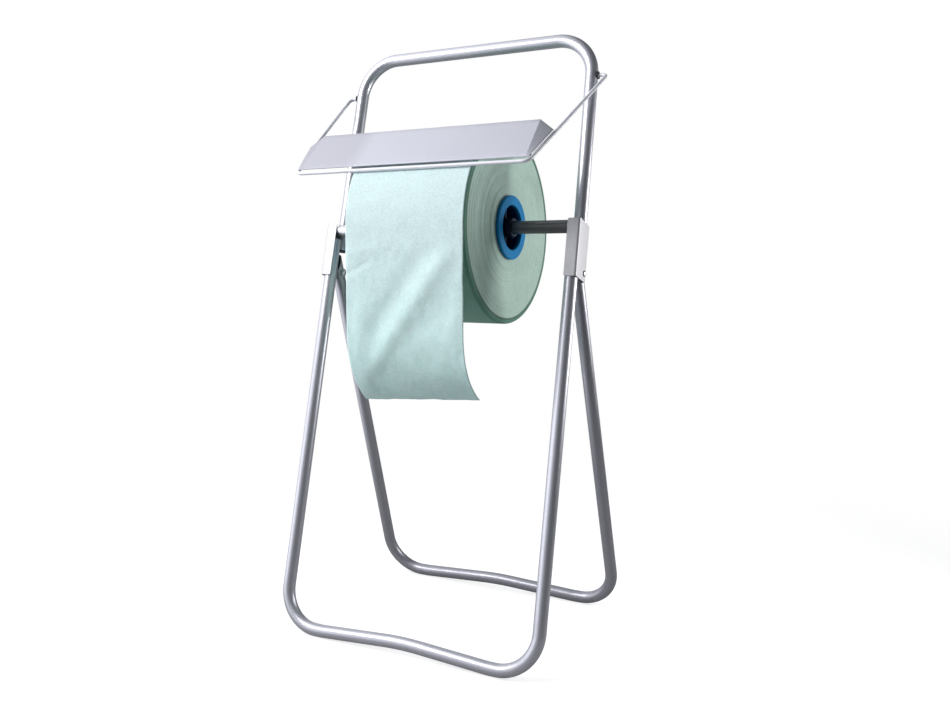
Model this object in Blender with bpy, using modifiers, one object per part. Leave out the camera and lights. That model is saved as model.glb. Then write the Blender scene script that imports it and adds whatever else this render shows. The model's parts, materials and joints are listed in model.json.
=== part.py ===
"""Folding floor stand for a wide roll of wiping cloth, with a swinging tear bar.

Metres, +Z up. The stand faces -Y, +X is its right-hand side seen from the front, and the
origin is on the floor under the middle of the stand. The right-hand copy of each paired piece
is modelled and the left-hand one is its mirror image.
"""

from math import atan2, cos, hypot, pi, radians, sin, tan

import bmesh
import bpy
from mathutils import Matrix, Vector

# Steel tube of the three frames
TUBE_RADIUS = 0.011
TUBE_WALL = 0.0015
TUBE_SIDES = 16
FIT_GAP = 0.0003

# Front frame: a wide U that stands on the floor and leans back
FRONT_LEAN = radians(13.21)
FOOT_REACH = 0.1841
FRONT_FOOT_HALF_WIDTH = 0.2455
LEG_HALF_WIDTH = 0.2397
BRACKET_FOOT_UP = 0.635
FRONT_LEG_UP = 0.7045
BASE_BEND_RADIUS = 0.068
BASE_FLAT = 0.016
BASE_RISE = 0.0095
BASE_KNEE_RADIUS = 0.10
BASE_CROWN_RADIUS = 0.60

# Handle frame: an inverted U on the brackets, behind the front legs
HANDLE_BACK = 0.02313
HANDLE_FOOT_UP = 0.688
HANDLE_TOP_UP = 1.0567
HANDLE_TOP_HALF_WIDTH = 0.2312
HANDLE_BEND_RADIUS = 0.068

# Rear frame: a second wide U, hinged to the brackets
PIVOT_UP = 0.6462
REAR_FOOT_HALF_WIDTH = 0.2462
REAR_END_ABOVE_PIVOT = 0.030
REAR_CUT_BACK = 0.0119

# Brackets: L-section sheet metal, the web in front and the flange outside
SHEET_METAL = 0.0015
BRACKET_HEIGHT = 0.0962
BRACKET_WEB_INNER = 0.0085
BRACKET_FLANGE_OFFSET = 0.0116
BRACKET_FRONT = 0.0117
BRACKET_DEPTH_BACK = 0.0305
BRACKET_BEND_RADIUS = 0.0025
BRACKET_EDGE_DROP = 0.0025
BRACKET_TILT = radians(0.8)

# Pivot rivets and their washers
RIVET_RADIUS = 0.003
RIVET_HEAD_RADIUS = 0.0052
RIVET_HEAD_HEIGHT = 0.0024
RIVET_HOLE_RADIUS = 0.0034
WASHER_RADIUS = 0.0075
WASHER_THICKNESS = 0.001

# Plastic plugs in the tube ends
PLUG_SHANK_RADIUS = TUBE_RADIUS - TUBE_WALL - FIT_GAP
PLUG_SHANK_LENGTH = 0.016
PLUG_HEAD_HEIGHT = 0.003
SADDLE_HEAD_HEIGHT = 0.0085

# Axle
AXLE_UP = 0.720
AXLE_RADIUS = 0.011
AXLE_HALF_LENGTH = 0.2285
AXLE_CAP_LENGTH = 0.008

# Roll of cloth, its core and the two hubs that carry it on the axle
ROLL_RIGHT = 0.120
ROLL_LEFT = -0.102
ROLL_RADIUS = 0.1635
ROLL_EDGE_RADIUS = 0.005
ROLL_SEGMENTS = 64
CORE_OUTER_RADIUS = 0.0433
CORE_INNER_RADIUS = 0.0403
HUB_FLANGE_RADIUS = 0.054
HUB_FLANGE_THICKNESS = 0.0055
HUB_SLEEVE_LENGTH = 0.040
HUB_SLEEVE_WALL = 0.0025
HUB_BOSS_RADIUS = 0.016
HUB_BOSS_PROUD = 0.003
HUB_RIB_COUNT = 6
HUB_RIB_THICKNESS = 0.003
HUB_RIB_RECESS = 0.007
HUB_SEGMENTS = 32

# Loose end of the cloth: under the tear bar, down the front, curling back at the bottom
CLOTH_THICKNESS = 0.0015
CLOTH_EDGE_INSET = 0.001
CLOTH_WRAP = radians(62)
CLOTH_STRAIGHT = 0.172
CLOTH_CURL_RADIUS = 0.138
CLOTH_CURL = radians(56.5)

# Tear bar: a bent wire with a folded plate, swinging on the handle frame
WIRE_RADIUS = 0.0031
WIRE_PIVOT_UP = 0.9876
WIRE_STUB_X = 0.261
WIRE_END_X = 0.2335
WIRE_BEND = Vector((0.233, -0.0975, 0.8525))
WIRE_FRONT_HALF_WIDTH = 0.218
WIRE_FRONT_ANGLE = radians(33.4)
WIRE_FRONT_GAP = 0.0004
BUSH_SLEEVE_RADIUS = 0.0049
BUSH_COLLAR_RADIUS = 0.0066
BUSH_COLLAR_THICKNESS = 0.0016
BUSH_SLEEVE_LENGTH = 0.0045
PLATE_THICKNESS = 0.0012
PLATE_TOP = Vector((0.2076, -0.0932, 0.8754))
PLATE_LOW = Vector((0.2120, -0.1588, 0.8116))
CHEEK_REAR = Vector((0.2330, -0.1005, 0.8570))
CHEEK_LOW = Vector((0.2168, -0.1586, 0.8115))

ALONG_X = Matrix.Rotation(pi / 2, 4, "Y")


def front_plane(lean=FRONT_LEAN, foot_y=-FOOT_REACH):
    """Matrix of a frame's own plane: its X is across, its Y up the leg and its Z forwards."""
    up = Vector((0, sin(lean), cos(lean)))
    across = Vector((1, 0, 0))
    matrix = Matrix.Identity(4)
    for column, axis in enumerate((across, up, across.cross(up))):
        matrix.col[column][:3] = axis
    matrix.translation = (0, foot_y, TUBE_RADIUS)
    return matrix


FRONT = front_plane()


def in_front_plane(x, up, back=0.0):
    """World point at this height up the front leg, this far behind its centre line."""
    return FRONT @ Vector((x, up, -back))


PIVOT = in_front_plane(0, PIVOT_UP, HANDLE_BACK)
AXLE = in_front_plane(0, AXLE_UP)
WIRE_PIVOT = in_front_plane(0, WIRE_PIVOT_UP, HANDLE_BACK)
REAR_LEAN = atan2(PIVOT.y - FOOT_REACH, PIVOT.z - TUBE_RADIUS)
REAR_LEG_TO_PIVOT = hypot(PIVOT.y - FOOT_REACH, PIVOT.z - TUBE_RADIUS)
REAR = front_plane(REAR_LEAN, FOOT_REACH)


def handle_half_width(up):
    """Half the distance between the handle frame's two legs at this height up the leg."""
    taper = (LEG_HALF_WIDTH - HANDLE_TOP_HALF_WIDTH) / (HANDLE_TOP_UP - BRACKET_FOOT_UP)
    return LEG_HALF_WIDTH - taper * (up - BRACKET_FOOT_UP)


def front_half_width(up):
    """Half the distance between the front legs at this height up the leg."""
    taper = (FRONT_FOOT_HALF_WIDTH - LEG_HALF_WIDTH) / BRACKET_FOOT_UP
    return FRONT_FOOT_HALF_WIDTH - taper * up


# ---------------------------------------------------------------- scene helpers


def clear_scene():
    for obj in list(bpy.data.objects):
        bpy.data.objects.remove(obj, do_unlink=True)


def new_collection(name):
    collection = bpy.data.collections.new(name)
    bpy.context.scene.collection.children.link(collection)
    return collection


clear_scene()
STAND = new_collection("wiping_cloth_roll_stand")
CUTTERS = new_collection("cutters")


def make_material(name, color, roughness, metallic=0.0):
    material = bpy.data.materials.new(name)
    material.use_nodes = True
    shader = material.node_tree.nodes["Principled BSDF"]
    shader.inputs["Base Color"].default_value = (*color, 1)
    shader.inputs["Roughness"].default_value = roughness
    shader.inputs["Metallic"].default_value = metallic
    return material


SILVER_PAINT = ("silver_paint", (0.55, 0.55, 0.60), 0.35, 0.6)
BRACKET_PAINT = ("bracket_paint", (0.60, 0.60, 0.64), 0.4, 0.3)
PLATE_PAINT = ("plate_paint", (0.66, 0.66, 0.72), 0.4, 0.0)
BARE_STEEL = ("bare_steel", (0.45, 0.45, 0.47), 0.3, 1.0)
ZINC = ("zinc", (0.62, 0.62, 0.65), 0.3, 1.0)
BLACK_PLASTIC = ("black_plastic", (0.02, 0.02, 0.022), 0.5)
BLUE_PLASTIC = ("blue_plastic", (0.01, 0.16, 0.42), 0.35)
CARDBOARD = ("cardboard", (0.35, 0.24, 0.14), 0.9)
CLOTH = ("green_cloth", (0.55, 0.74, 0.68), 0.95)


def add_object(name, data, finish, matrix=None, collection=STAND):
    obj = bpy.data.objects.new(name, data)
    collection.objects.link(obj)
    if matrix is not None:
        obj.matrix_world = matrix
    if finish is not None:
        data.materials.clear()
        label, *look = finish
        data.materials.append(make_material(f"{name}_{label}", *look))
    return obj


def add_cutter(name, mesh, matrix):
    cutter = add_object(name, mesh, None, matrix, CUTTERS)
    cutter.hide_render = True
    cutter.display_type = "WIRE"
    return cutter


def boolean(obj, cutter, operation="DIFFERENCE"):
    modifier = obj.modifiers.new(f"{operation.lower()}_{cutter.name}", "BOOLEAN")
    modifier.operation = operation
    modifier.solver = "EXACT"
    modifier.object = cutter


def evaluated_mesh(obj):
    bpy.context.view_layer.update()
    graph = bpy.context.evaluated_depsgraph_get()
    return bpy.data.meshes.new_from_object(obj.evaluated_get(graph))


def shade(mesh, sharp=radians(35)):
    mesh.shade_smooth()
    mesh.set_sharp_from_angle(angle=sharp)


def mirror_piece(right):
    """The left-hand piece: the right-hand one turned over the plane x = 0."""
    mesh = evaluated_mesh(right)
    flip = Matrix.Diagonal((-1, 1, 1, 1))
    origin = flip @ right.matrix_world.translation
    mesh.transform(Matrix.Translation(-origin) @ flip @ right.matrix_world)
    mesh.flip_normals()
    material = right.data.materials[0].copy()
    left = add_object(right.name.replace("right", "left"), mesh, None, Matrix.Translation(origin))
    mesh.materials.clear()
    mesh.materials.append(material)
    return left


# ---------------------------------------------------------------- shape helpers


def arc_about(corner, before, after, radius, steps):
    """Points of the round bend that replaces a corner between two straight runs."""
    into = (before - corner).normalized()
    out = (after - corner).normalized()
    half = into.angle(out) / 2
    centre = corner + (into + out).normalized() * (radius / sin(half))
    start = corner + into * (radius / tan(half)) - centre
    end = corner + out * (radius / tan(half)) - centre
    turn = start.angle(end)
    points = []
    for i in range(steps + 1):
        a = turn * i / steps
        points.append(centre + (start * sin(turn - a) + end * sin(a)) / sin(turn))
    return points


def rounded_path(corners):
    """Points along a run of (point, bend radius, steps), with each inner corner rounded."""
    path = [Vector(corners[0][0])]
    for i in range(1, len(corners) - 1):
        point, radius, steps = corners[i]
        before = Vector(corners[i - 1][0])
        after = Vector(corners[i + 1][0])
        path += arc_about(Vector(point), before, after, radius, steps)
    path.append(Vector(corners[-1][0]))
    return path


def rod_curve(name, path, radius, bevel_resolution, tilt=0.0, caps=True):
    """Curve object with a round section; a section has 4 + 2 * bevel_resolution sides."""
    curve = bpy.data.curves.new(name, "CURVE")
    curve.dimensions = "3D"
    curve.twist_mode = "Z_UP"
    curve.bevel_depth = radius
    curve.bevel_resolution = bevel_resolution
    curve.use_fill_caps = caps
    spline = curve.splines.new("POLY")
    spline.points.add(len(path) - 1)
    for point, place in zip(spline.points, path):
        point.co = (*place, 1)
        point.tilt = tilt
    return add_object(name, curve, None)


def curve_to_mesh(obj, finish, matrix=None):
    """Turns the curve object into a mesh object with its caps welded on."""
    mesh = evaluated_mesh(obj)
    name, curve = obj.name, obj.data
    bpy.data.objects.remove(obj)
    bpy.data.curves.remove(curve)
    shape = bmesh.new()
    shape.from_mesh(mesh)
    bmesh.ops.remove_doubles(shape, verts=shape.verts, dist=1e-6)
    shape.to_mesh(mesh)
    shape.free()
    shade(mesh)
    return add_object(name, mesh, finish, matrix)


def bent_tube(name, path, plane, tilt):
    """Hollow tube with open ends along a path in its own plane.

    The flats of its sides touch the true round radius, and the tilt turns one flat of the
    base bar to face straight down.
    """
    corner_radius = TUBE_RADIUS / cos(pi / TUBE_SIDES)
    curve = rod_curve(name, path, corner_radius, (TUBE_SIDES - 4) // 2, tilt, caps=False)
    tube = curve_to_mesh(curve, SILVER_PAINT, plane)
    wall = tube.modifiers.new("wall", "SOLIDIFY")
    wall.thickness = TUBE_WALL
    wall.offset = -1
    return tube


def turned(name, profile, finish, matrix, segments, closed=False, collection=STAND):
    """Solid of revolution about local Z. The (radius, height) profile runs down its outer side."""
    mesh = bpy.data.meshes.new(name)
    points = [(radius, 0, height) for radius, height in profile]
    edges = [(i, i + 1) for i in range(len(points) - 1)]
    if closed:
        edges.append((len(points) - 1, 0))
    mesh.from_pydata(points, edges, [])
    obj = add_object(name, mesh, finish, matrix, collection)
    spin = obj.modifiers.new("turn", "SCREW")
    spin.steps = segments
    spin.render_steps = segments
    spin.use_merge_vertices = True
    spin.merge_threshold = 0.00001
    spin.use_smooth_shade = True
    return obj


def cylinder_cutter(name, radius, low, high, matrix, segments=32):
    """Cutter of this radius along local Z from low to high."""
    shape = bmesh.new()
    place = Matrix.Translation((0, 0, (low + high) / 2))
    bmesh.ops.create_cone(shape, cap_ends=True, segments=segments, radius1=radius,
                          radius2=radius, depth=high - low, matrix=place)
    mesh = bpy.data.meshes.new(name)
    shape.to_mesh(mesh)
    shape.free()
    return add_cutter(name, mesh, matrix)


def box_mesh(name, low, high):
    shape = bmesh.new()
    low, high = Vector(low), Vector(high)
    place = Matrix.Translation((low + high) / 2) @ Matrix.Diagonal((*(high - low), 1))
    bmesh.ops.create_cube(shape, size=1, matrix=place)
    mesh = bpy.data.meshes.new(name)
    shape.to_mesh(mesh)
    shape.free()
    return mesh


# ---------------------------------------------------------------- frames


def base_corners(foot_half_width, leg_top):
    """Corners of a wide U whose base bar stands on two short flats and rises between them."""
    flat_outer = foot_half_width - BASE_BEND_RADIUS
    knee = flat_outer - BASE_FLAT
    right = [((knee, 0, 0), BASE_KNEE_RADIUS, 2), ((foot_half_width, 0, 0), BASE_BEND_RADIUS, 8)]
    right.append((leg_top, 0, 0))
    mirrored = [((-x, y, z), radius, steps) for (x, y, z), radius, steps in reversed(right)]
    return mirrored + [((0, BASE_RISE, 0), BASE_CROWN_RADIUS, 4)] + right


def facet_tilt(lean):
    """Turn of the tube's sides that brings the nearest flat from the plane to face down."""
    facet = 2 * pi / TUBE_SIDES
    down = pi / 2 - lean
    return -((down - facet / 2) % facet)


def make_front_frame():
    leg_top = (front_half_width(FRONT_LEG_UP), FRONT_LEG_UP, 0)
    path = rounded_path(base_corners(FRONT_FOOT_HALF_WIDTH, leg_top))
    return bent_tube("front_frame_tube", path, FRONT, facet_tilt(FRONT_LEAN))


def make_rear_frame():
    end = REAR_LEG_TO_PIVOT + REAR_END_ABOVE_PIVOT
    taper = (REAR_FOOT_HALF_WIDTH - LEG_HALF_WIDTH) / REAR_LEG_TO_PIVOT
    leg_top = (REAR_FOOT_HALF_WIDTH - taper * end, end, 0)
    path = rounded_path(base_corners(REAR_FOOT_HALF_WIDTH, leg_top))
    frame = bent_tube("rear_frame_tube", path, REAR, facet_tilt(REAR_LEAN))
    frame.data.transform(Matrix.Translation((0, -REAR_LEG_TO_PIVOT, 0)))
    frame.matrix_world = REAR @ Matrix.Translation((0, REAR_LEG_TO_PIVOT, 0))
    boolean(frame, make_slant_cutter())
    boolean(frame, cylinder_cutter("pivot_hole", RIVET_HOLE_RADIUS, -0.3, 0.3,
                                   Matrix.Translation(PIVOT) @ ALONG_X, 16))
    return frame


def make_slant_cutter():
    """Cuts the rear legs' ends parallel to the front legs, which they meet when open."""
    low = (-0.3, PIVOT_UP - 0.05, -REAR_CUT_BACK)
    high = (0.3, PIVOT_UP + 0.07, 0.05)
    return add_cutter("rear_leg_slant", box_mesh("rear_leg_slant", low, high), FRONT)


def make_handle_frame():
    foot = (handle_half_width(HANDLE_FOOT_UP), HANDLE_FOOT_UP, 0)
    top = (HANDLE_TOP_HALF_WIDTH, HANDLE_TOP_UP, 0)
    corners = [((-foot[0], foot[1], 0), 0, 0), ((-top[0], top[1], 0), HANDLE_BEND_RADIUS, 8)]
    corners += [(top, HANDLE_BEND_RADIUS, 8), (foot, 0, 0)]
    plane = FRONT @ Matrix.Translation((0, 0, -HANDLE_BACK))
    frame = bent_tube("handle_frame_tube", rounded_path(corners), plane, 0.0)
    x = handle_half_width(WIRE_PIVOT_UP)
    for side in (-1, 1):
        at = Matrix.Translation(WIRE_PIVOT) @ ALONG_X
        ends = sorted((side * x, side * (x + 2 * TUBE_RADIUS)))
        boolean(frame, cylinder_cutter(f"bush_hole_{side}", BUSH_SLEEVE_RADIUS + FIT_GAP,
                                       *ends, at, 16))
    return frame


# ---------------------------------------------------------------- brackets and their fasteners


def bracket_frame():
    """Plane of the right bracket: leg axis up, tilted to follow the tapering frames."""
    place = Matrix.Translation((LEG_HALF_WIDTH, BRACKET_FOOT_UP, 0))
    return FRONT @ place @ Matrix.Rotation(BRACKET_TILT, 4, "Z")


def make_bracket():
    """Web in front of the front leg, flange along the outside of both tubes."""
    corners = [((-BRACKET_WEB_INNER, BRACKET_FRONT, 0), 0, 0)]
    corners += [((BRACKET_FLANGE_OFFSET, BRACKET_FRONT, 0), BRACKET_BEND_RADIUS, 3)]
    corners += [((BRACKET_FLANGE_OFFSET, -BRACKET_DEPTH_BACK, 0), 0, 0)]
    outline = rounded_path(corners)
    shape = bmesh.new()
    rows = []
    for base in (0, BRACKET_HEIGHT):
        row = []
        for place in outline:
            slope = BRACKET_EDGE_DROP * (BRACKET_FRONT - place.y) / BRACKET_DEPTH_BACK
            row.append(shape.verts.new((place.x, base - slope, place.y)))
        rows.append(row)
    for i in range(len(outline) - 1):
        shape.faces.new((rows[0][i], rows[0][i + 1], rows[1][i + 1], rows[1][i]))
    mesh = bpy.data.meshes.new("bracket_right")
    shape.to_mesh(mesh)
    shape.free()
    bracket = add_object("bracket_right", mesh, BRACKET_PAINT, bracket_frame())
    sheet = bracket.modifiers.new("sheet", "SOLIDIFY")
    sheet.thickness = SHEET_METAL
    sheet.offset = 1
    boolean(bracket, cylinder_cutter("rivet_hole", RIVET_HOLE_RADIUS, 0.24, 0.28,
                                     Matrix.Translation(PIVOT) @ ALONG_X, 16))
    return bracket


def dome(radius, height, steps):
    """(radius, height) points of a shallow round head, from its crown down to its rim."""
    return [(radius * sin(pi / 2 * i / steps), height * cos(pi / 2 * i / steps))
            for i in range(steps + 1)]


def make_rivet():
    outer = BRACKET_FLANGE_OFFSET + SHEET_METAL + FIT_GAP + 0.0003
    inner = -(TUBE_RADIUS / cos(pi / TUBE_SIDES) + WASHER_THICKNESS + 3 * FIT_GAP)
    head = [(r, outer + h) for r, h in dome(RIVET_HEAD_RADIUS, RIVET_HEAD_HEIGHT, 4)]
    tail = [(r, inner - h * 0.8) for r, h in reversed(dome(RIVET_HEAD_RADIUS, RIVET_HEAD_HEIGHT, 3))]
    profile = head + [(RIVET_RADIUS, outer), (RIVET_RADIUS, inner)] + tail
    place = Matrix.Translation((LEG_HALF_WIDTH, PIVOT.y, PIVOT.z)) @ ALONG_X
    return turned("pivot_rivet_right", profile, ZINC, place, 16)


def make_washer():
    outer = -(TUBE_RADIUS / cos(pi / TUBE_SIDES) + FIT_GAP)
    inner = outer - WASHER_THICKNESS
    bore = RIVET_RADIUS + FIT_GAP
    profile = [(WASHER_RADIUS, outer), (WASHER_RADIUS, inner), (bore, inner), (bore, outer)]
    place = Matrix.Translation((LEG_HALF_WIDTH, PIVOT.y, PIVOT.z)) @ ALONG_X
    return turned("pivot_washer_right", profile, ZINC, place, 16, closed=True)


# ---------------------------------------------------------------- tube end plugs


def end_matrix(plane, x, up, back=0.0, x_tilt=0.0):
    """Local Z runs up the leg of a frame's plane from this point."""
    place = plane @ Matrix.Translation((x, up, -back)) @ Matrix.Rotation(x_tilt, 4, "Z")
    return place @ Matrix.Rotation(-pi / 2, 4, "X")


def make_saddle_plug():
    """Plug in the top of the front leg, hollowed to carry the axle."""
    x = front_half_width(FRONT_LEG_UP)
    tilt = atan2(FRONT_FOOT_HALF_WIDTH - LEG_HALF_WIDTH, BRACKET_FOOT_UP)
    top, seat = SADDLE_HEAD_HEIGHT, FIT_GAP
    profile = [(0, top), (TUBE_RADIUS - 0.001, top), (TUBE_RADIUS, top - 0.001), (TUBE_RADIUS, seat),
               (PLUG_SHANK_RADIUS, seat), (PLUG_SHANK_RADIUS, -PLUG_SHANK_LENGTH),
               (0, -PLUG_SHANK_LENGTH)]
    plug = turned("front_leg_saddle_plug_right", profile, BLACK_PLASTIC,
                  end_matrix(FRONT, x, FRONT_LEG_UP, 0, tilt), 20)
    boolean(plug, cylinder_cutter("axle_seat", AXLE_RADIUS + FIT_GAP, 0.2, 0.28,
                                  Matrix.Translation(AXLE) @ ALONG_X))
    return plug


def make_handle_plug():
    """Domed plug in the lower end of the handle frame's leg."""
    tilt = atan2(LEG_HALF_WIDTH - HANDLE_TOP_HALF_WIDTH, HANDLE_TOP_UP - BRACKET_FOOT_UP)
    seat = -FIT_GAP
    rim = TUBE_RADIUS - 0.0003
    head = [(r, seat - 0.001 - h) for r, h in reversed(dome(rim, PLUG_HEAD_HEIGHT - 0.001, 3))]
    profile = [(0, PLUG_SHANK_LENGTH), (PLUG_SHANK_RADIUS, PLUG_SHANK_LENGTH),
               (PLUG_SHANK_RADIUS, seat), (rim, seat)] + head
    x = handle_half_width(HANDLE_FOOT_UP)
    place = end_matrix(FRONT, x, HANDLE_FOOT_UP, HANDLE_BACK, tilt)
    return turned("handle_end_plug_right", profile, BLACK_PLASTIC, place, 20)


def make_rear_plug():
    """Plug in the slant-cut end of the rear leg, cut to the same slant."""
    tilt = atan2(REAR_FOOT_HALF_WIDTH - LEG_HALF_WIDTH, REAR_LEG_TO_PIVOT)
    end = REAR_LEG_TO_PIVOT + REAR_END_ABOVE_PIVOT
    x = LEG_HALF_WIDTH - tan(tilt) * REAR_END_ABOVE_PIVOT
    depth = REAR_END_ABOVE_PIVOT - RIVET_RADIUS - 0.005
    rim = TUBE_RADIUS - 0.0003
    profile = [(0, 0.002), (rim - 0.001, 0.002), (rim, 0.001), (rim, FIT_GAP),
               (PLUG_SHANK_RADIUS, FIT_GAP), (PLUG_SHANK_RADIUS, -depth), (0, -depth)]
    plug = turned("rear_leg_end_plug_right", profile, BLACK_PLASTIC,
                  end_matrix(REAR, x, end, 0, tilt), 20)
    boolean(plug, bpy.data.objects["rear_leg_slant"])
    return plug


# ---------------------------------------------------------------- axle, roll and hubs


def make_axle():
    bore = AXLE_RADIUS - TUBE_WALL
    half = AXLE_HALF_LENGTH
    profile = [(AXLE_RADIUS, half), (AXLE_RADIUS, -half), (bore, -half), (bore, half)]
    place = Matrix.Translation(AXLE) @ ALONG_X
    return turned("axle_tube", profile, BARE_STEEL, place, 32, closed=True)


def make_axle_cap():
    """Round-nosed cap pushed into the end of the axle."""
    shank = AXLE_RADIUS - TUBE_WALL - FIT_GAP
    nose = [(r, FIT_GAP + 0.001 + h) for r, h in dome(AXLE_RADIUS, AXLE_CAP_LENGTH - 0.001, 5)]
    profile = nose + [(AXLE_RADIUS, FIT_GAP), (shank, FIT_GAP), (shank, -0.014), (0, -0.014)]
    place = Matrix.Translation((AXLE_HALF_LENGTH, AXLE.y, AXLE.z)) @ ALONG_X
    return turned("axle_end_cap_right", profile, ZINC, place, 32)


def roll_place(x):
    return Matrix.Translation((x, AXLE.y, AXLE.z)) @ ALONG_X


def make_paper_roll():
    """Wound cloth with rounded outer edges."""
    middle = (ROLL_RIGHT + ROLL_LEFT) / 2
    half = (ROLL_RIGHT - ROLL_LEFT) / 2
    bore = CORE_OUTER_RADIUS + FIT_GAP
    edge = ROLL_EDGE_RADIUS
    steps = 3
    right = [(ROLL_RADIUS - edge + edge * sin(pi / 2 * i / steps),
              half - edge + edge * cos(pi / 2 * i / steps)) for i in range(steps + 1)]
    left = [(radius, -height) for radius, height in reversed(right)]
    profile = right + left + [(bore, -half), (bore, half)]
    return turned("cloth_roll", profile, CLOTH, roll_place(middle), ROLL_SEGMENTS, closed=True)


def make_core():
    middle = (ROLL_RIGHT + ROLL_LEFT) / 2
    half = (ROLL_RIGHT - ROLL_LEFT) / 2 - FIT_GAP
    profile = [(CORE_OUTER_RADIUS, half), (CORE_OUTER_RADIUS, -half),
               (CORE_INNER_RADIUS, -half), (CORE_INNER_RADIUS, half)]
    return turned("roll_core", profile, CARDBOARD, roll_place(middle), HUB_SEGMENTS, closed=True)


def make_hub():
    """Flanged sleeve in the end of the core, with ribs to the boss that turns on the axle."""
    flange_in = FIT_GAP
    flange_out = FIT_GAP + HUB_FLANGE_THICKNESS
    sleeve = CORE_INNER_RADIUS - FIT_GAP
    bore = sleeve - HUB_SLEEVE_WALL
    profile = [(HUB_FLANGE_RADIUS - 0.001, flange_out), (HUB_FLANGE_RADIUS, flange_out - 0.001),
               (HUB_FLANGE_RADIUS, flange_in), (sleeve, flange_in), (sleeve, -HUB_SLEEVE_LENGTH),
               (bore, -HUB_SLEEVE_LENGTH), (bore, flange_out - 0.001), (bore + 0.001, flange_out)]
    place = roll_place(ROLL_RIGHT)
    hub = turned("roll_hub_right", profile, BLUE_PLASTIC, place, HUB_SEGMENTS, closed=True)
    boss_bore = AXLE_RADIUS + 0.0005
    boss_out = flange_out + HUB_BOSS_PROUD
    boss = turned("hub_boss", [(HUB_BOSS_RADIUS, boss_out), (HUB_BOSS_RADIUS, -HUB_SLEEVE_LENGTH),
                               (boss_bore, -HUB_SLEEVE_LENGTH), (boss_bore, boss_out)],
                  None, place, HUB_SEGMENTS, closed=True, collection=CUTTERS)
    boss.hide_render = True
    boss.display_type = "WIRE"
    boolean(hub, boss, "UNION")
    shape = bmesh.new()
    inner = (HUB_BOSS_RADIUS + boss_bore) / 2
    outer = bore + HUB_SLEEVE_WALL / 2
    depth = HUB_SLEEVE_LENGTH - HUB_RIB_RECESS - 0.004
    for i in range(HUB_RIB_COUNT):
        turn = Matrix.Rotation(2 * pi * i / HUB_RIB_COUNT, 4, "Z")
        at = Matrix.Translation(((inner + outer) / 2, 0, -HUB_RIB_RECESS - depth / 2))
        size = Matrix.Diagonal((outer - inner, HUB_RIB_THICKNESS, depth, 1))
        bmesh.ops.create_cube(shape, size=1, matrix=turn @ at @ size)
    mesh = bpy.data.meshes.new("hub_ribs")
    shape.to_mesh(mesh)
    shape.free()
    boolean(hub, add_cutter("hub_ribs", mesh, place), "UNION")
    return hub


def mirror_about_roll(right):
    """The hub of the roll's other end, mirrored over the middle of the roll."""
    left = mirror_piece(right)
    left.location.x = ROLL_LEFT
    return left


# ---------------------------------------------------------------- loose cloth


def cloth_section():
    """(y, z) points of the loose cloth's middle surface, from its upper end down."""
    radius = ROLL_RADIUS + FIT_GAP + CLOTH_THICKNESS / 2
    points = []
    wrap_steps, curl_steps = 14, 12
    for i in range(wrap_steps + 1):
        angle = CLOTH_WRAP * (1 - i / wrap_steps)
        points.append((AXLE.y - radius * cos(angle), AXLE.z + radius * sin(angle)))
    y, z = points[-1][0], points[-1][1] - CLOTH_STRAIGHT
    for i in range(curl_steps + 1):
        angle = CLOTH_CURL * i / curl_steps
        points.append((y + CLOTH_CURL_RADIUS * (1 - cos(angle)), z - CLOTH_CURL_RADIUS * sin(angle)))
    return points


def make_loose_cloth():
    left, right = ROLL_LEFT + CLOTH_EDGE_INSET, ROLL_RIGHT - CLOTH_EDGE_INSET
    shape = bmesh.new()
    rows = [(shape.verts.new((left, y, z)), shape.verts.new((right, y, z)))
            for y, z in cloth_section()]
    for upper, lower in zip(rows, rows[1:]):
        shape.faces.new((upper[0], lower[0], lower[1], upper[1]))
    mesh = bpy.data.meshes.new("loose_cloth")
    shape.to_mesh(mesh)
    shape.free()
    shade(mesh)
    cloth = add_object("loose_cloth", mesh, CLOTH)
    body = cloth.modifiers.new("body", "SOLIDIFY")
    body.thickness = CLOTH_THICKNESS
    body.offset = 0
    return cloth


# ---------------------------------------------------------------- tear bar


def wire_front_corner():
    """Corner of the wire's front bar, lying on the cloth where it leaves the roll."""
    reach = ROLL_RADIUS + FIT_GAP + CLOTH_THICKNESS + WIRE_FRONT_GAP + WIRE_RADIUS
    y = AXLE.y - reach * cos(WIRE_FRONT_ANGLE)
    z = AXLE.z + reach * sin(WIRE_FRONT_ANGLE)
    return Vector((WIRE_FRONT_HALF_WIDTH, y, z))


def make_wire():
    end = Vector((WIRE_END_X, WIRE_PIVOT.y, WIRE_PIVOT.z))
    stub = Vector((WIRE_STUB_X, WIRE_PIVOT.y, WIRE_PIVOT.z))
    right = [(end, 0, 0), (stub, 0.009, 5), (WIRE_BEND, 0.10, 2), (wire_front_corner(), 0.014, 5)]
    flip = Matrix.Diagonal((-1, 1, 1))
    left = [(flip @ place, radius, steps) for place, radius, steps in reversed(right)]
    path = [place - WIRE_PIVOT for place in rounded_path(right + left)]
    curve = rod_curve("tear_bar_wire", path, WIRE_RADIUS, 3)
    return curve_to_mesh(curve, SILVER_PAINT, Matrix.Translation(WIRE_PIVOT))


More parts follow.
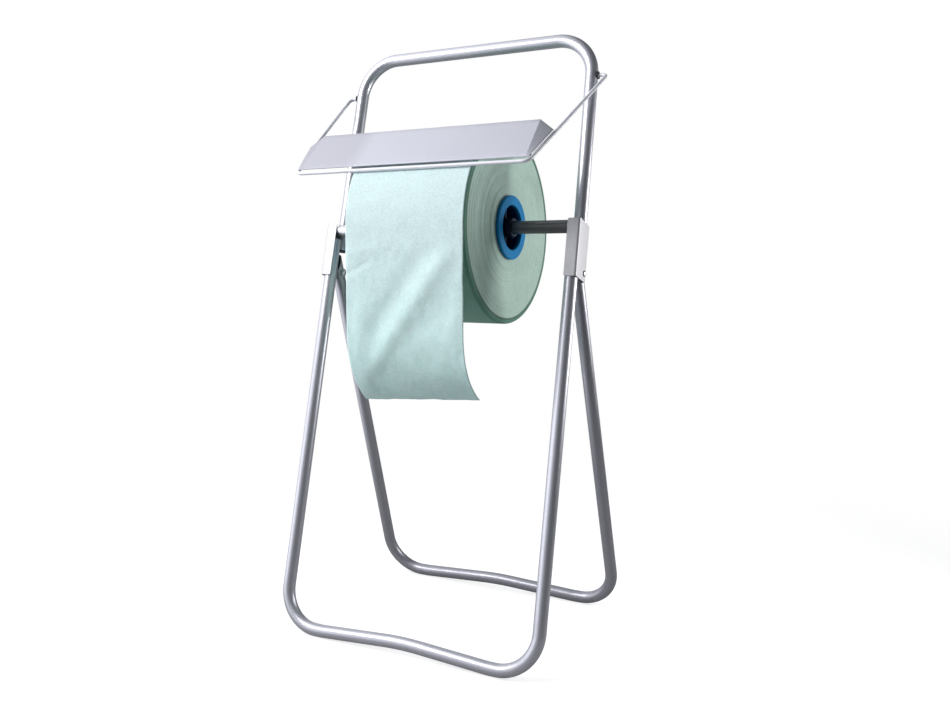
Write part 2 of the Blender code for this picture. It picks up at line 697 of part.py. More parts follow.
def make_plate():
    """Folded plate on the wire: a slanting front and a cheek at each end."""
    shape = bmesh.new()
    rows = []
    for cheek, corner in ((CHEEK_REAR, PLATE_TOP), (CHEEK_LOW, PLATE_LOW)):
        row = []
        for side, place in ((-1, cheek), (-1, corner), (1, corner), (1, cheek)):
            point = Vector((side * place.x, place.y, place.z))
            row.append(shape.verts.new(point - WIRE_PIVOT))
        rows.append(row)
    for i in range(3):
        shape.faces.new((rows[0][i], rows[1][i], rows[1][i + 1], rows[0][i + 1]))
    mesh = bpy.data.meshes.new("tear_plate")
    shape.to_mesh(mesh)
    shape.free()
    plate = add_object("tear_plate", mesh, PLATE_PAINT, Matrix.Translation(WIRE_PIVOT))
    sheet = plate.modifiers.new("sheet", "SOLIDIFY")
    sheet.thickness = PLATE_THICKNESS
    sheet.offset = 0
    sheet.use_even_offset = True
    return plate


def make_bush():
    """Plastic bush in the handle frame's outer wall, around the wire's pivot end."""
    wall = handle_half_width(WIRE_PIVOT_UP) + TUBE_RADIUS / cos(pi / TUBE_SIDES)
    seat, top = FIT_GAP, FIT_GAP + BUSH_COLLAR_THICKNESS
    bore = WIRE_RADIUS + FIT_GAP
    profile = [(BUSH_COLLAR_RADIUS - 0.0005, top), (BUSH_COLLAR_RADIUS, top - 0.0005),
               (BUSH_COLLAR_RADIUS, seat), (BUSH_SLEEVE_RADIUS, seat),
               (BUSH_SLEEVE_RADIUS, -BUSH_SLEEVE_LENGTH), (bore, -BUSH_SLEEVE_LENGTH), (bore, top)]
    place = Matrix.Translation((wall, WIRE_PIVOT.y, WIRE_PIVOT.z)) @ ALONG_X
    return turned("tear_bar_bush_right", profile, BLACK_PLASTIC, place, 16, closed=True)


def main():
    make_front_frame()
    make_rear_frame()
    make_handle_frame()
    make_axle()
    make_paper_roll()
    make_core()
    make_loose_cloth()
    make_wire()
    make_plate()
    for make in (make_bracket, make_rivet, make_washer, make_saddle_plug, make_handle_plug,
                 make_rear_plug, make_axle_cap, make_bush):
        mirror_piece(make())
    mirror_about_roll(make_hub())


main()
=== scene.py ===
"""Looks of a folding floor stand for a roll of wiping cloth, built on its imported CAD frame.

Metres, in the frame of the CAD part: the stand faces -Y and stands on z = 0. Each shown piece is a
fine mesh of its CAD node's own size and place, rides on that node's body and replaces it.
"""

import json
from math import atan2, cos, hypot, pi, radians, remainder, sin, tan

import bmesh
import bpy
import numpy as np
from mathutils import Matrix, Vector, noise


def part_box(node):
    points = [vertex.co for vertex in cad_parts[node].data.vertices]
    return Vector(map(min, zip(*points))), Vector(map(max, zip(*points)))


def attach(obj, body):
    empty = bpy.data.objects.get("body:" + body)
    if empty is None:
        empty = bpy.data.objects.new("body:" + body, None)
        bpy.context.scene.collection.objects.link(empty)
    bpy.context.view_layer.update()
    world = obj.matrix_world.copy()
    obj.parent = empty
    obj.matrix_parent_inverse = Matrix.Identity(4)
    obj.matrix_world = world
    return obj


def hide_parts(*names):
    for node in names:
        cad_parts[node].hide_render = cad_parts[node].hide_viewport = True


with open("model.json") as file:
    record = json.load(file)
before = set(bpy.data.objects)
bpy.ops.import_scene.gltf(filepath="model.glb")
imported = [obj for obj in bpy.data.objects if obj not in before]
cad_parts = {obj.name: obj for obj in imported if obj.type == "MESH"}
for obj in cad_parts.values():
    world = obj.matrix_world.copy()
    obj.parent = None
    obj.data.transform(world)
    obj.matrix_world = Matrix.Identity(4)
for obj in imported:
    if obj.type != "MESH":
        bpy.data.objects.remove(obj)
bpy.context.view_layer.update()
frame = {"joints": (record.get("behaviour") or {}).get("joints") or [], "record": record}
JOINTS = {joint["name"]: joint for joint in frame["joints"]}
MOUNTS = {mount["name"]: mount for mount in frame["record"]["mounts"]}

ALONG_X = Matrix.Rotation(pi / 2, 4, "Y")
FLIP_X = Matrix.Diagonal((-1, 1, 1, 1))

# Tubes of the three frames
TUBE_RADIUS = 0.011
TUBE_WALL = 0.0015
TUBE_SIDES = 56
FIT_GAP = 0.0003

PIVOT = Vector(JOINTS["rear_frame_fold"]["pos_m"])
AXLE = Vector(JOINTS["axle_turn"]["pos_m"])
WIRE_PIVOT = Vector(JOINTS["tear_bar_swing"]["pos_m"])
FOOT_REACH = -MOUNTS["floor_front_right"]["pos_m"][1]
FRONT_LEAN = atan2(AXLE.y + FOOT_REACH, AXLE.z - TUBE_RADIUS)

# Front and rear frames: wide U shapes with an arched base bar
FRONT_FOOT_HALF_WIDTH = 0.2455
REAR_FOOT_HALF_WIDTH = 0.2462
LEG_HALF_WIDTH = 0.2397
BRACKET_FOOT_UP = 0.635
FRONT_LEG_UP = 0.7045
BASE_BEND_RADIUS = 0.068
BASE_FLAT = 0.016
BASE_RISE = 0.0095
BASE_KNEE_RADIUS = 0.10
BASE_CROWN_RADIUS = 0.60
REAR_END_ABOVE_PIVOT = 0.030
REAR_CUT_BACK = 0.0119

# Handle frame
HANDLE_FOOT_UP = 0.688
HANDLE_TOP_UP = 1.0567
HANDLE_TOP_HALF_WIDTH = 0.2312
HANDLE_BEND_RADIUS = 0.068

# Brackets
SHEET_METAL = 0.0015
BRACKET_HEIGHT = 0.0962
BRACKET_WEB_INNER = 0.0085
BRACKET_FLANGE_OFFSET = 0.0116
BRACKET_FRONT = 0.0117
BRACKET_DEPTH_BACK = 0.0305
BRACKET_BEND_RADIUS = 0.0025
BRACKET_EDGE_DROP = 0.0025
BRACKET_CORNER_RADIUS = 0.0022
BRACKET_TILT = radians(0.8)

# Fasteners, plugs and bushes
RIVET_RADIUS = 0.003
RIVET_HEAD_RADIUS = 0.0052
RIVET_HEAD_HEIGHT = 0.0024
WASHER_RADIUS = 0.0075
WASHER_THICKNESS = 0.001
PLUG_SHANK_RADIUS = TUBE_RADIUS - TUBE_WALL - FIT_GAP
PLUG_SHANK_LENGTH = 0.016
PLUG_HEAD_HEIGHT = 0.003
SADDLE_HEAD_HEIGHT = 0.0085
FACET_CORNER = TUBE_RADIUS / cos(pi / 16)
BUSH_SLEEVE_RADIUS = 0.0049
BUSH_COLLAR_RADIUS = 0.0066
BUSH_COLLAR_THICKNESS = 0.0016

# Axle, roll, core and hubs
AXLE_RADIUS = 0.011
AXLE_HALF_LENGTH = 0.2285
AXLE_CAP_LENGTH = 0.008
ROLL_LOW, ROLL_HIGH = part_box("cloth_roll")
ROLL_LEFT, ROLL_RIGHT = ROLL_LOW.x, ROLL_HIGH.x
ROLL_MIDDLE = (ROLL_LEFT + ROLL_RIGHT) / 2
ROLL_HALF_WIDTH = (ROLL_RIGHT - ROLL_LEFT) / 2
ROLL_RADIUS = 0.1635
ROLL_EDGE_RADIUS = 0.005
ROLL_SEGMENTS = 160
WIND_PITCH = 0.0011
CORE_OUTER_RADIUS = 0.0433
CORE_INNER_RADIUS = 0.0403
HUB_FLANGE_RADIUS = 0.054
HUB_FLANGE_THICKNESS = 0.0055
HUB_SLEEVE_LENGTH = 0.040
HUB_SLEEVE_WALL = 0.0025
HUB_BOSS_RADIUS = 0.016
HUB_BOSS_PROUD = 0.003
HUB_RIB_COUNT = 6
HUB_RIB_THICKNESS = 0.003
HUB_RIB_RECESS = 0.007

# Loose end of the cloth
CLOTH_SHEET = 0.0006
CLOTH_INSET = 0.001
CLOTH_WRAP = radians(62)
CLOTH_STRAIGHT = 0.172
CLOTH_CURL_LENGTH = 0.137
CLOTH_CURL_LEFT = 0.85
CLOTH_CURL_RIGHT = 1.03
CLOTH_HEM_SKEW = -0.0085
CLOTH_OFF_ROLL = 0.0011
CLOTH_WRAP_RADIUS = ROLL_RADIUS + CLOTH_OFF_ROLL
CLOTH_STEP = 0.0021

# Tear bar
WIRE_RADIUS = 0.0031
WIRE_PIVOT_UP = 0.9876
WIRE_STUB_X = 0.2608
WIRE_END_X = 0.2335
WIRE_BEND = Vector((0.233, -0.0975, 0.8525))
WIRE_FRONT_HALF_WIDTH = 0.218
WIRE_FRONT_ANGLE = radians(33.4)
WIRE_REACH = 0.1688
PLATE_THICKNESS = 0.0012
PLATE_TOP = Vector((0.2076, -0.0932, 0.8754))
PLATE_LOW = Vector((0.2120, -0.1588, 0.8116))
CHEEK_REAR = Vector((0.2330, -0.1005, 0.8570))
CHEEK_LOW = Vector((0.2168, -0.1586, 0.8115))


# ---------------------------------------------------------------- materials


class Graph:
    """Shorthand for adding nodes to a shader tree."""

    def __init__(self, tree):
        self.tree = tree

    def node(self, kind, inputs=None, **settings):
        made = self.tree.nodes.new("ShaderNode" + kind)
        for label, value in settings.items():
            setattr(made, label, value)
        for label, value in (inputs or {}).items():
            if isinstance(value, bpy.types.NodeSocket):
                self.tree.links.new(value, made.inputs[label])
            else:
                made.inputs[label].default_value = value
        return made

    def span(self, value, low, high, to_low=0.0, to_high=1.0, kind="LINEAR"):
        """The value's range from low to high brought to another range, and held there."""
        inputs = {"Value": value, "From Min": low, "From Max": high, "To Min": to_low,
                  "To Max": to_high}
        return self.node("MapRange", inputs, interpolation_type=kind).outputs[0]

    def sum(self, first, second, operation="ADD"):
        return self.node("Math", {0: first, 1: second}, operation=operation).outputs[0]

    def times(self, first, second):
        return self.sum(first, second, "MULTIPLY")

    def vector(self, operation, inputs, output=0):
        return self.node("VectorMath", inputs, operation=operation).outputs[output]

    def part(self, vector, index):
        """One coordinate of a vector."""
        return self.node("SeparateXYZ", {0: vector}).outputs[index]


class Finish(Graph):
    """One procedural material, built up node by node around its Principled shader."""

    def __init__(self, name, color, roughness, metallic=0.0, **sockets):
        self.material = bpy.data.materials.new(name)
        self.material.use_nodes = True
        super().__init__(self.material.node_tree)
        self.shader = self.tree.nodes["Principled BSDF"]
        self.color = color
        self.shader.inputs["Base Color"].default_value = (*color, 1)
        self.shader.inputs["Roughness"].default_value = roughness
        self.shader.inputs["Metallic"].default_value = metallic
        for label, value in sockets.items():
            self.shader.inputs[label.replace("_", " ")].default_value = value
        self.place = self.node("TexCoord").outputs["Object"]
        self.uv = self.node("TexCoord").outputs["UV"]
        self.normal = None

    def stretch(self, scale, turn=(0, 0, 0), source=None):
        """The coordinates turned, then scaled, so that a noise read there has that grain."""
        where = self.node("Mapping", {"Vector": source or self.place, "Rotation": turn})
        scaled = {"Vector": where.outputs[0], "Scale": scale}
        return self.node("Mapping", scaled).outputs[0]

    def noise(self, scale, detail=2.0, rough=0.5, where=None, distortion=0.0):
        inputs = {"Vector": where or self.place, "Scale": scale, "Detail": detail,
                  "Roughness": rough, "Distortion": distortion}
        return self.node("TexNoise", inputs).outputs[0]

    def mix(self, share, first, second):
        made = self.node("Mix", {0: share}, data_type="RGBA")
        for index, value in ((6, first), (7, second)):
            if isinstance(value, bpy.types.NodeSocket):
                self.tree.links.new(value, made.inputs[index])
            else:
                made.inputs[index].default_value = (*value, 1)
        return made.outputs[2]

    def tint(self, share, color):
        """Lays a colour over the base colour where the share is high."""
        made = self.mix(share, self.base(), color)
        self.tree.links.new(made, self.shader.inputs["Base Color"])

    def base(self):
        links = self.shader.inputs["Base Color"].links
        return links[0].from_socket if links else self.color

    def shade(self, value, low, high, share, factor):
        """Lays the finish's own colour, times a factor, over it as the value nears high."""
        self.tint(self.span(value, low, high, 0, share), shaded(self.color, factor))

    def gloss(self, value):
        self.tree.links.new(value, self.shader.inputs["Roughness"])

    def relief(self, height, depth):
        """Adds bump of this depth in metres, on top of any relief that is there."""
        inputs = {"Height": height, "Distance": depth, "Strength": 1.0}
        if self.normal is not None:
            inputs["Normal"] = self.normal
        self.normal = self.node("Bump", inputs).outputs[0]
        self.tree.links.new(self.normal, self.shader.inputs["Normal"])

    def radius_from_axle(self):
        """Distance of a point from the axle's line."""
        apart = self.vector("SUBTRACT", {0: self.place, 1: tuple(AXLE)})
        flat = self.vector("MULTIPLY", {0: apart, 1: (0, 1, 1)})
        return self.vector("LENGTH", {0: flat}, 1)

    def across_from_roll(self):
        """Distance of a point from the roll's middle, along the axle."""
        apart = self.sum(self.part(self.place, 0), ROLL_MIDDLE, "SUBTRACT")
        return self.sum(apart, 0.0, "ABSOLUTE")


RECESS_SHADE_NAVY = (0.004, 0.014, 0.075)
BOSS_SHADE_BLACK = (0.010, 0.012, 0.022)
LEFT_END_HIGHLIGHT_STEEL = (0.52, 0.52, 0.55)
LOWER_CLOTH_SHADE_MINT = (0.48, 0.765, 0.705)
FACE_GREEN = (0.40, 0.50, 0.42)
BELT_SHADE_GREEN = (0.17, 0.33, 0.26)
RIM_SHADE_GREEN = (0.13, 0.28, 0.21)
RING_SHADE_GREEN = (0.045, 0.11, 0.08)


def shaded(color, factor):
    return tuple(min(1.0, channel * factor) for channel in color)


def powder_coat(name, color, roughness, metallic, flake=0.07):
    """Satin metallic coat: fine flake, slight orange peel, soft cloudiness and small scuffs."""
    coat = Finish(name, color, roughness, metallic)
    cloud = coat.noise(14, 3, 0.6)
    coat.shade(cloud, 0.35, 0.65, 0.4, 0.95)
    grain = coat.noise(1700, 1, 0.5)
    coat.shade(grain, 0.5, 0.75, 0.4, 1 + 2 * flake)
    coat.shade(grain, 0.45, 0.25, 0.4, 1 - 2 * flake)
    scuff = coat.noise(26, 2, 0.5, coat.stretch((1, 1, 0.2)))
    worn = coat.span(scuff, 0.60, 0.72, 0, 0.2)
    coat.tint(worn, shaded(color, 0.85))
    uneven = coat.span(coat.noise(180, 3), 0.3, 0.7, roughness - 0.03, roughness + 0.05)
    coat.gloss(coat.sum(uneven, coat.times(worn, 0.3)))
    coat.relief(coat.noise(420, 2, 0.55), 0.00002)
    return coat.material


def plate_coat(name, color):
    """The tear plate's glossier coat, with painted shade darkening its left end."""
    coat = Finish(name, color, 0.38, 0.5)
    grain = coat.noise(1700, 1, 0.5)
    coat.shade(grain, 0.5, 0.75, 0.4, 1.06)
    cloud = coat.noise(9, 2, 0.5)
    coat.shade(cloud, 0.35, 0.65, 0.5, 0.96)
    # Painted shade: the left end of the plate is darkened, along an edge that wavers with the cloud
    # noise.
    across = coat.part(coat.place, 0)
    edge = coat.sum(across, coat.times(cloud, 0.03))
    coat.shade(edge, -0.075, -0.105, 1, 0.84)
    coat.gloss(coat.span(coat.noise(160, 3), 0.3, 0.7, 0.35, 0.43))
    coat.relief(coat.noise(380, 2, 0.55), 0.00002)
    return coat.material


def drawn_steel(name, color, roughness):
    """Steel tube drawn along X, with turned scratches round it and a painted highlight brightening
    its left end.
    """
    steel = Finish(name, color, roughness, 0.9)
    along = steel.noise(900, 3, 0.6, steel.stretch((0.02, 1, 1)))
    steel.shade(along, 0.35, 0.65, 1, 0.78)
    round_it = steel.noise(500, 2, 0.6, steel.stretch((1, 0.06, 0.06)))
    steel.shade(round_it, 0.58, 0.72, 0.4, 1.5)
    stain = steel.noise(28, 4, 0.65)
    steel.shade(stain, 0.55, 0.75, 0.5, 0.6)
    # Painted highlight: the axle turns to bright steel towards its left end.
    across = steel.part(steel.place, 0)
    steel.tint(steel.span(across, -0.160, -0.175), LEFT_END_HIGHLIGHT_STEEL)
    steel.gloss(steel.span(stain, 0.3, 0.7, roughness - 0.06, roughness + 0.12))
    steel.relief(along, 0.00002)
    steel.relief(round_it, 0.000015)
    return steel.material


def zinc_plate(name, color):
    """Bright zinc: soft spangle, with fine wear."""
    zinc = Finish(name, color, 0.28, 1.0)
    spangle = zinc.node("TexVoronoi", {"Vector": zinc.place, "Scale": 900.0})
    zinc.shade(spangle.outputs[0], 0.1, 0.6, 0.45, 0.78)
    wear = zinc.noise(700, 4, 0.65)
    zinc.gloss(zinc.span(wear, 0.3, 0.7, 0.2, 0.4))
    zinc.relief(wear, 0.00002)
    return zinc.material


def moulded(name, color, roughness, grain_depth):
    """Injection-moulded plastic: fine spark grain, faint flow marks and pale dust."""
    plastic = Finish(name, color, roughness)
    flow = plastic.noise(55, 2, 0.5, None, 0.8)
    plastic.shade(flow, 0.4, 0.62, 0.5, 0.84)
    dust = plastic.noise(150, 5, 0.7)
    pale = tuple(channel * 0.8 + 0.06 for channel in color)
    plastic.tint(plastic.span(dust, 0.56, 0.78, 0, 0.35), pale)
    plastic.gloss(plastic.span(dust, 0.3, 0.7, roughness - 0.05, roughness + 0.1))
    plastic.relief(plastic.noise(2200, 2, 0.5), grain_depth)
    return plastic.material


def hub_plastic(name, color):
    """Blue plastic with painted shade: deep navy in the recess behind the flange and near black round
    the boss.
    """
    plastic = Finish(name, color, 0.5, 0.0, Specular_IOR_Level=0.12)
    flow = plastic.noise(55, 2, 0.5, None, 0.8)
    plastic.shade(flow, 0.4, 0.62, 0.5, 0.85)
    out, half = plastic.across_from_roll(), ROLL_HALF_WIDTH
    # Painted shade: everything set back behind the flange's outer face turns deep navy.
    plastic.tint(plastic.span(out, half + 0.0045, half - 0.002, 0, 0.92), RECESS_SHADE_NAVY)
    near = plastic.radius_from_axle()
    # Painted shade: the boss and its bore turn near black.
    plastic.tint(plastic.span(near, 0.0235, 0.0205, 0, 0.95), BOSS_SHADE_BLACK)
    plastic.gloss(plastic.span(plastic.noise(300, 4, 0.65), 0.3, 0.7, 0.42, 0.58))
    plastic.relief(plastic.noise(2200, 2, 0.5), 0.00002)
    return plastic.material


def cardboard(name, color):
    """Spirally wound board: slanting fibres and dark flecks."""
    board = Finish(name, color, 0.88)
    fibre = board.noise(700, 4, 0.7, board.stretch((1, 0.2, 0.2), (0.5, 0, 0)))
    board.shade(fibre, 0.35, 0.7, 1, 1.3)
    fleck = board.noise(260, 3, 0.6)
    board.shade(fleck, 0.62, 0.72, 0.6, 0.55)
    board.relief(fibre, 0.00012)
    return board.material


def nonwoven(name, color, rolled):
    """Soft nonwoven: crossing fibres, cloudy density and a little fuzz; hanging cloth gets painted
    shade down its length, and a roll adds its windings and painted shade.
    """
    sheen = 0.04 if rolled else 0.2
    cloth = Finish(name, color, 0.92, 0.0, Sheen_Weight=sheen, Specular_IOR_Level=0.2)
    if not rolled:
        # Painted shade: the hanging cloth turns darker and greener towards its lower part, so that
        # its top reads as lit from above.
        down = cloth.part(cloth.uv, 1)
        cloth.tint(cloth.span(down, 0.0, 0.28), LOWER_CLOTH_SHADE_MINT)
    density = cloth.noise(300, 5, 0.68)
    cloth.shade(density, 0.40, 0.60, 0.8, 0.83)
    cloud = cloth.noise(38, 3, 0.55)
    cloth.shade(cloud, 0.4, 0.66, 0.35, 1.06)
    fuzz = None
    for turn in (0.35, -0.5, 1.25, 2.2):
        grain = cloth.stretch((1, 0.08, 1), (0, 0, turn), cloth.uv)
        fibre = cloth.span(cloth.noise(900, 2, 0.6, grain, 0.25), 0.52, 0.66)
        fuzz = fibre if fuzz is None else cloth.sum(fuzz, fibre)
    cloth.shade(fuzz, 0.6, 2.0, 0.6, 1.15)
    cloth.relief(density, 0.0003)
    cloth.relief(fuzz, 0.00012)
    if rolled:
        wind_layers(cloth)
    return cloth.material


def wind_layers(cloth):
    """The layer edges on a roll's faces, closer than the mesh shows, and painted shade in deep greens
    on its belt, its rounded rim and a ring just inside the rim.
    """
    radius = cloth.radius_from_axle()
    out, half = cloth.across_from_roll(), ROLL_HALF_WIDTH
    on_face = cloth.span(out, half - 0.0030, half - 0.0012)
    shell = cloth.node("CombineXYZ", {0: radius}).outputs[0]
    layers = cloth.noise(2300, 2, 0.7, shell)
    bands = cloth.noise(160, 3, 0.65, shell)
    line = cloth.times(cloth.span(layers, 0.38, 0.6, 1, 0), on_face)
    cloth.tint(cloth.times(line, 0.38), shaded(cloth.color, 0.66))
    band = cloth.times(cloth.span(bands, 0.42, 0.62), on_face)
    cloth.tint(cloth.times(band, 0.3), shaded(cloth.color, 0.8))
    cloth.tint(cloth.times(on_face, 0.15), FACE_GREEN)
    patch = cloth.times(cloth.span(cloth.noise(13, 3, 0.6), 0.46, 0.66), on_face)
    cloth.tint(cloth.times(patch, 0.4), shaded(cloth.color, 0.62))
    # Painted shade: the belt round the outside of the roll is darkened to deep green.
    outside = cloth.span(radius, ROLL_RADIUS - 0.0090, ROLL_RADIUS - 0.0065)
    cloth.tint(cloth.times(outside, 0.8), BELT_SHADE_GREEN)
    inner_side = cloth.span(radius, ROLL_RADIUS - 0.0115, ROLL_RADIUS - 0.0095)
    outer_side = cloth.span(radius, ROLL_RADIUS - 0.0062, ROLL_RADIUS - 0.0078)
    near_edge = cloth.span(out, half - 0.0085, half - 0.0050)
    # Painted shade: the rounded rim at each face goes darker green still.
    rim = cloth.times(outside, near_edge)
    cloth.tint(cloth.times(rim, 0.8), RIM_SHADE_GREEN)
    # Painted shade: a dark green ring on each face, just inside the rounded rim.
    ring_shade = cloth.times(cloth.times(inner_side, outer_side), near_edge)
    cloth.tint(cloth.times(ring_shade, 0.8), RING_SHADE_GREEN)
    cloth.relief(cloth.times(layers, on_face), 0.00025)


SILVER = powder_coat("silver_coat", (0.51, 0.51, 0.56), 0.36, 0.70)
# Painted shade: the rear frame gets a darker copy of the silver coat, as it looks darker than the
# front one in the photo.
REAR_SILVER_SHADED = powder_coat("silver_coat_rear_shaded", (0.33, 0.33, 0.365), 0.36, 0.70)
BRACKET = powder_coat("bracket_coat", (0.50, 0.495, 0.515), 0.45, 0.35, 0.04)
PLATE = plate_coat("plate_coat", (0.48, 0.48, 0.535))
WIRE = powder_coat("wire_coat", (0.72, 0.72, 0.77), 0.45, 0.10, 0.03)
STEEL = drawn_steel("axle_steel", (0.15, 0.15, 0.155), 0.34)
ZINC = zinc_plate("zinc_plate", (0.70, 0.70, 0.73))
BLACK = moulded("black_moulding", (0.018, 0.018, 0.02), 0.48, 0.00003)
BLUE = hub_plastic("blue_moulding", (0.002, 0.215, 0.50))
BOARD = cardboard("core_board", (0.36, 0.25, 0.15))
CLOTH = nonwoven("mint_nonwoven", (0.67, 0.825, 0.825), False)
ROLLED = nonwoven("mint_nonwoven_roll", (0.60, 0.80, 0.71), True)


# ---------------------------------------------------------------- shape helpers


def placed(name, data):
    """A new object of this data, in the scene."""
    made = bpy.data.objects.new(name, data)
    bpy.context.scene.collection.objects.link(made)
    return made


def show(name, mesh, material, body, slot, *nodes, sharp=radians(38)):
    """A piece made of this mesh in the row frame, riding on a body and standing for CAD nodes."""
    mesh.name = name
    mesh.materials.clear()
    mesh.materials.append(material)
    mesh.shade_smooth()
    mesh.set_sharp_from_angle(angle=sharp)
    piece = placed(name, mesh)
    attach(piece, body)
    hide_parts(*nodes)
    return piece


def show_pair(name, mesh, material, body, slot, node):
    """The right-hand piece and its mirror image on the left, whose side is put into the names."""
    return [show(name.format(side), made, material, body, slot, node.format(side))
            for side, made in (("right", mesh), ("left", mirrored(mesh)))]


def soften(piece, width):
    """Rounds the sharp edges of a piece of sheet."""
    soft = piece.modifiers.new("soft_edges", "BEVEL")
    soft.width = width
    soft.segments = 3
    soft.limit_method = "ANGLE"
    soft.angle_limit = radians(50)


def mesh_of(shape, matrix=None):
    bmesh.ops.recalc_face_normals(shape, faces=shape.faces)
    mesh = bpy.data.meshes.new("piece")
    shape.to_mesh(mesh)
    shape.free()
    if matrix is not None:
        mesh.transform(matrix)
    return mesh


def mirrored(mesh):
    """The same mesh turned over the plane x = 0."""
    copy = mesh.copy()
    copy.transform(FLIP_X)
    copy.flip_normals()
    return copy


def bend(corner, before, after, radius, step):
    """Points of the arc that replaces a corner between two straight runs."""
    into = (before - corner).normalized()
    out = (after - corner).normalized()
    half = into.angle(out) / 2
    centre = corner + (into + out).normalized() * (radius / sin(half))
    start = corner + into * (radius / tan(half)) - centre
    end = corner + out * (radius / tan(half)) - centre
    turn = start.angle(end)
    steps = max(3, round(turn * radius / step))
    return [centre + (start * sin(turn - turn * i / steps) + end * sin(turn * i / steps)) / sin(turn)
            for i in range(steps + 1)]


def rounded_path(corners, step=0.004):
    """Points along a run of (point, bend radius), with each inner corner rounded."""
    path = [Vector(corners[0][0])]
    for i in range(1, len(corners) - 1):
        point, radius = corners[i]
        path += bend(Vector(point), Vector(corners[i - 1][0]), Vector(corners[i + 1][0]),
                     radius, step)
    path.append(Vector(corners[-1][0]))
    return path


def rings_along(path, start_normal):
    """(point, first axis, second axis, tangent) of a section carried along without twist."""
    rings = []
    normal = Vector(start_normal)
    for i, point in enumerate(path):
        ahead = path[min(i + 1, len(path) - 1)] - point
        behind = point - path[max(i - 1, 0)]
        tangent = (ahead.normalized() + behind.normalized()).normalized()
        normal = (normal - tangent * normal.dot(tangent)).normalized()
        rings.append((point, normal, tangent.cross(normal), tangent))
    return rings


def fill_grid(shape, columns):
    """Faces between neighbouring columns of vertices."""
    for one, two in zip(columns, columns[1:]):
        for i in range(len(one) - 1):
            shape.faces.new((one[i], two[i], two[i + 1], one[i + 1]))


def join_rings(shape, first, second):
    """Faces between two rings of vertices; a ring of one vertex is a pole."""
    count = max(len(first), len(second))
    if count < 3:
        return
    for i in range(count):
        j = (i + 1) % count
        if len(first) == 1:
            corners = (first[0], second[j], second[i])
        elif len(second) == 1:
            corners = (first[i], first[j], second[0])
        else:
            corners = (first[i], first[j], second[j], second[i])
        shape.faces.new(corners)


def sweep(path, radius, sides, start_normal, wall=None, edge=0.0003, reach=None):
    """Round rod along a path, or a hollow tube if it has a wall, with eased ends.

    reach(point, tangent) says how far beyond its last ring a point on the wall goes, for an end
    that isn't cut square.
    """
    rings = rings_along(path, start_normal)
    first, last = rings[0], rings[-1]

    def section(ring, size, shift=0.0, at_end=True):
        point, across, up, tangent = ring
        made = []
        for i in range(sides):
            angle = 2 * pi * i / sides
            place = point + across * (size * cos(angle)) + up * (size * sin(angle))
            place += tangent * shift
            if at_end and reach:
                place += tangent * reach(place, tangent)
            made.append(shape.verts.new(place))
        return made

    shape = bmesh.new()
    outer = [section(first, radius - edge), section(first, radius, edge)]
    outer += [section(ring, radius, at_end=False) for ring in rings[1:-1]]
    outer += [section(last, radius, -edge), section(last, radius - edge)]
    if wall is None:
        loop = [[shape.verts.new(first[0])]] + outer + [[shape.verts.new(last[0])]]
        for one, two in zip(loop, loop[1:]):
            join_rings(shape, one, two)
    else:
        inside = radius - wall
        inner = [section(last, inside)]
        inner += [section(ring, inside, at_end=False) for ring in reversed(rings[1:-1])]
        inner.append(section(first, inside))
        loop = outer + inner
        for one, two in zip(loop, loop[1:] + loop[:1]):
            join_rings(shape, one, two)
    return mesh_of(shape)


def eased(outline, closed=False, steps=4):
    """(radius, height) points of an outline whose corners (radius, height, fillet) are rounded."""
    points = []
    count = len(outline)
    for i, (r, h, fillet) in enumerate(outline):
        inner = closed or 0 < i < count - 1
        if not fillet or not inner:
            points.append((r, h))
            continue
        corner = Vector((r, h, 0))
        before = Vector((*outline[(i - 1) % count][:2], 0))
        after = Vector((*outline[(i + 1) % count][:2], 0))
        turn = pi - (before - corner).angle(after - corner)
        arc = bend(corner, before, after, fillet, turn * fillet / steps)
        points += [(place.x, place.y) for place in arc]
    return points


def turned(profile, matrix, segments=64, closed=False):
    """Solid of revolution about local Z from (radius, height) points."""
    shape = bmesh.new()
    rings = []
    for radius, height in profile:
        if radius < 1e-6:
            rings.append([shape.verts.new((0, 0, height))])
            continue
        rings.append([shape.verts.new((radius * cos(2 * pi * i / segments),
                                       radius * sin(2 * pi * i / segments), height))
                      for i in range(segments)])
    pairs = list(zip(rings, rings[1:]))
    if closed:
        pairs.append((rings[-1], rings[0]))
    for one, two in pairs:
        join_rings(shape, one, two)
    return mesh_of(shape, matrix)


def lathed(outline, matrix, segments):
    """A turned ring from a closed outline of (radius, height, fillet) corners."""
    return turned(eased(outline, True), matrix, segments, True)


def along_x(x, line):
    """Matrix that lays local Z along X, at this x on the line through a point."""
    return Matrix.Translation((x, line.y, line.z)) @ ALONG_X


def dome(radius, height, steps=10):
    """(radius, height) points of a round head, from its crown down to its rim."""
    return [(radius * sin(pi / 2 * i / steps), height * cos(pi / 2 * i / steps))
            for i in range(steps + 1)]


def cut(mesh, cutter_mesh, operation="DIFFERENCE"):
    """The mesh after an exact Boolean with another mesh."""
    body = placed("cut_body", mesh)
    tool = placed("cut_tool", cutter_mesh)
    step = body.modifiers.new("cut", "BOOLEAN")
    step.operation = operation
    step.solver = "EXACT"
    step.object = tool
    bpy.context.view_layer.update()
    graph = bpy.context.evaluated_depsgraph_get()
    result = bpy.data.meshes.new_from_object(body.evaluated_get(graph))
    for obj in (body, tool):
        bpy.data.objects.remove(obj)
    return result


# ---------------------------------------------------------------- frames


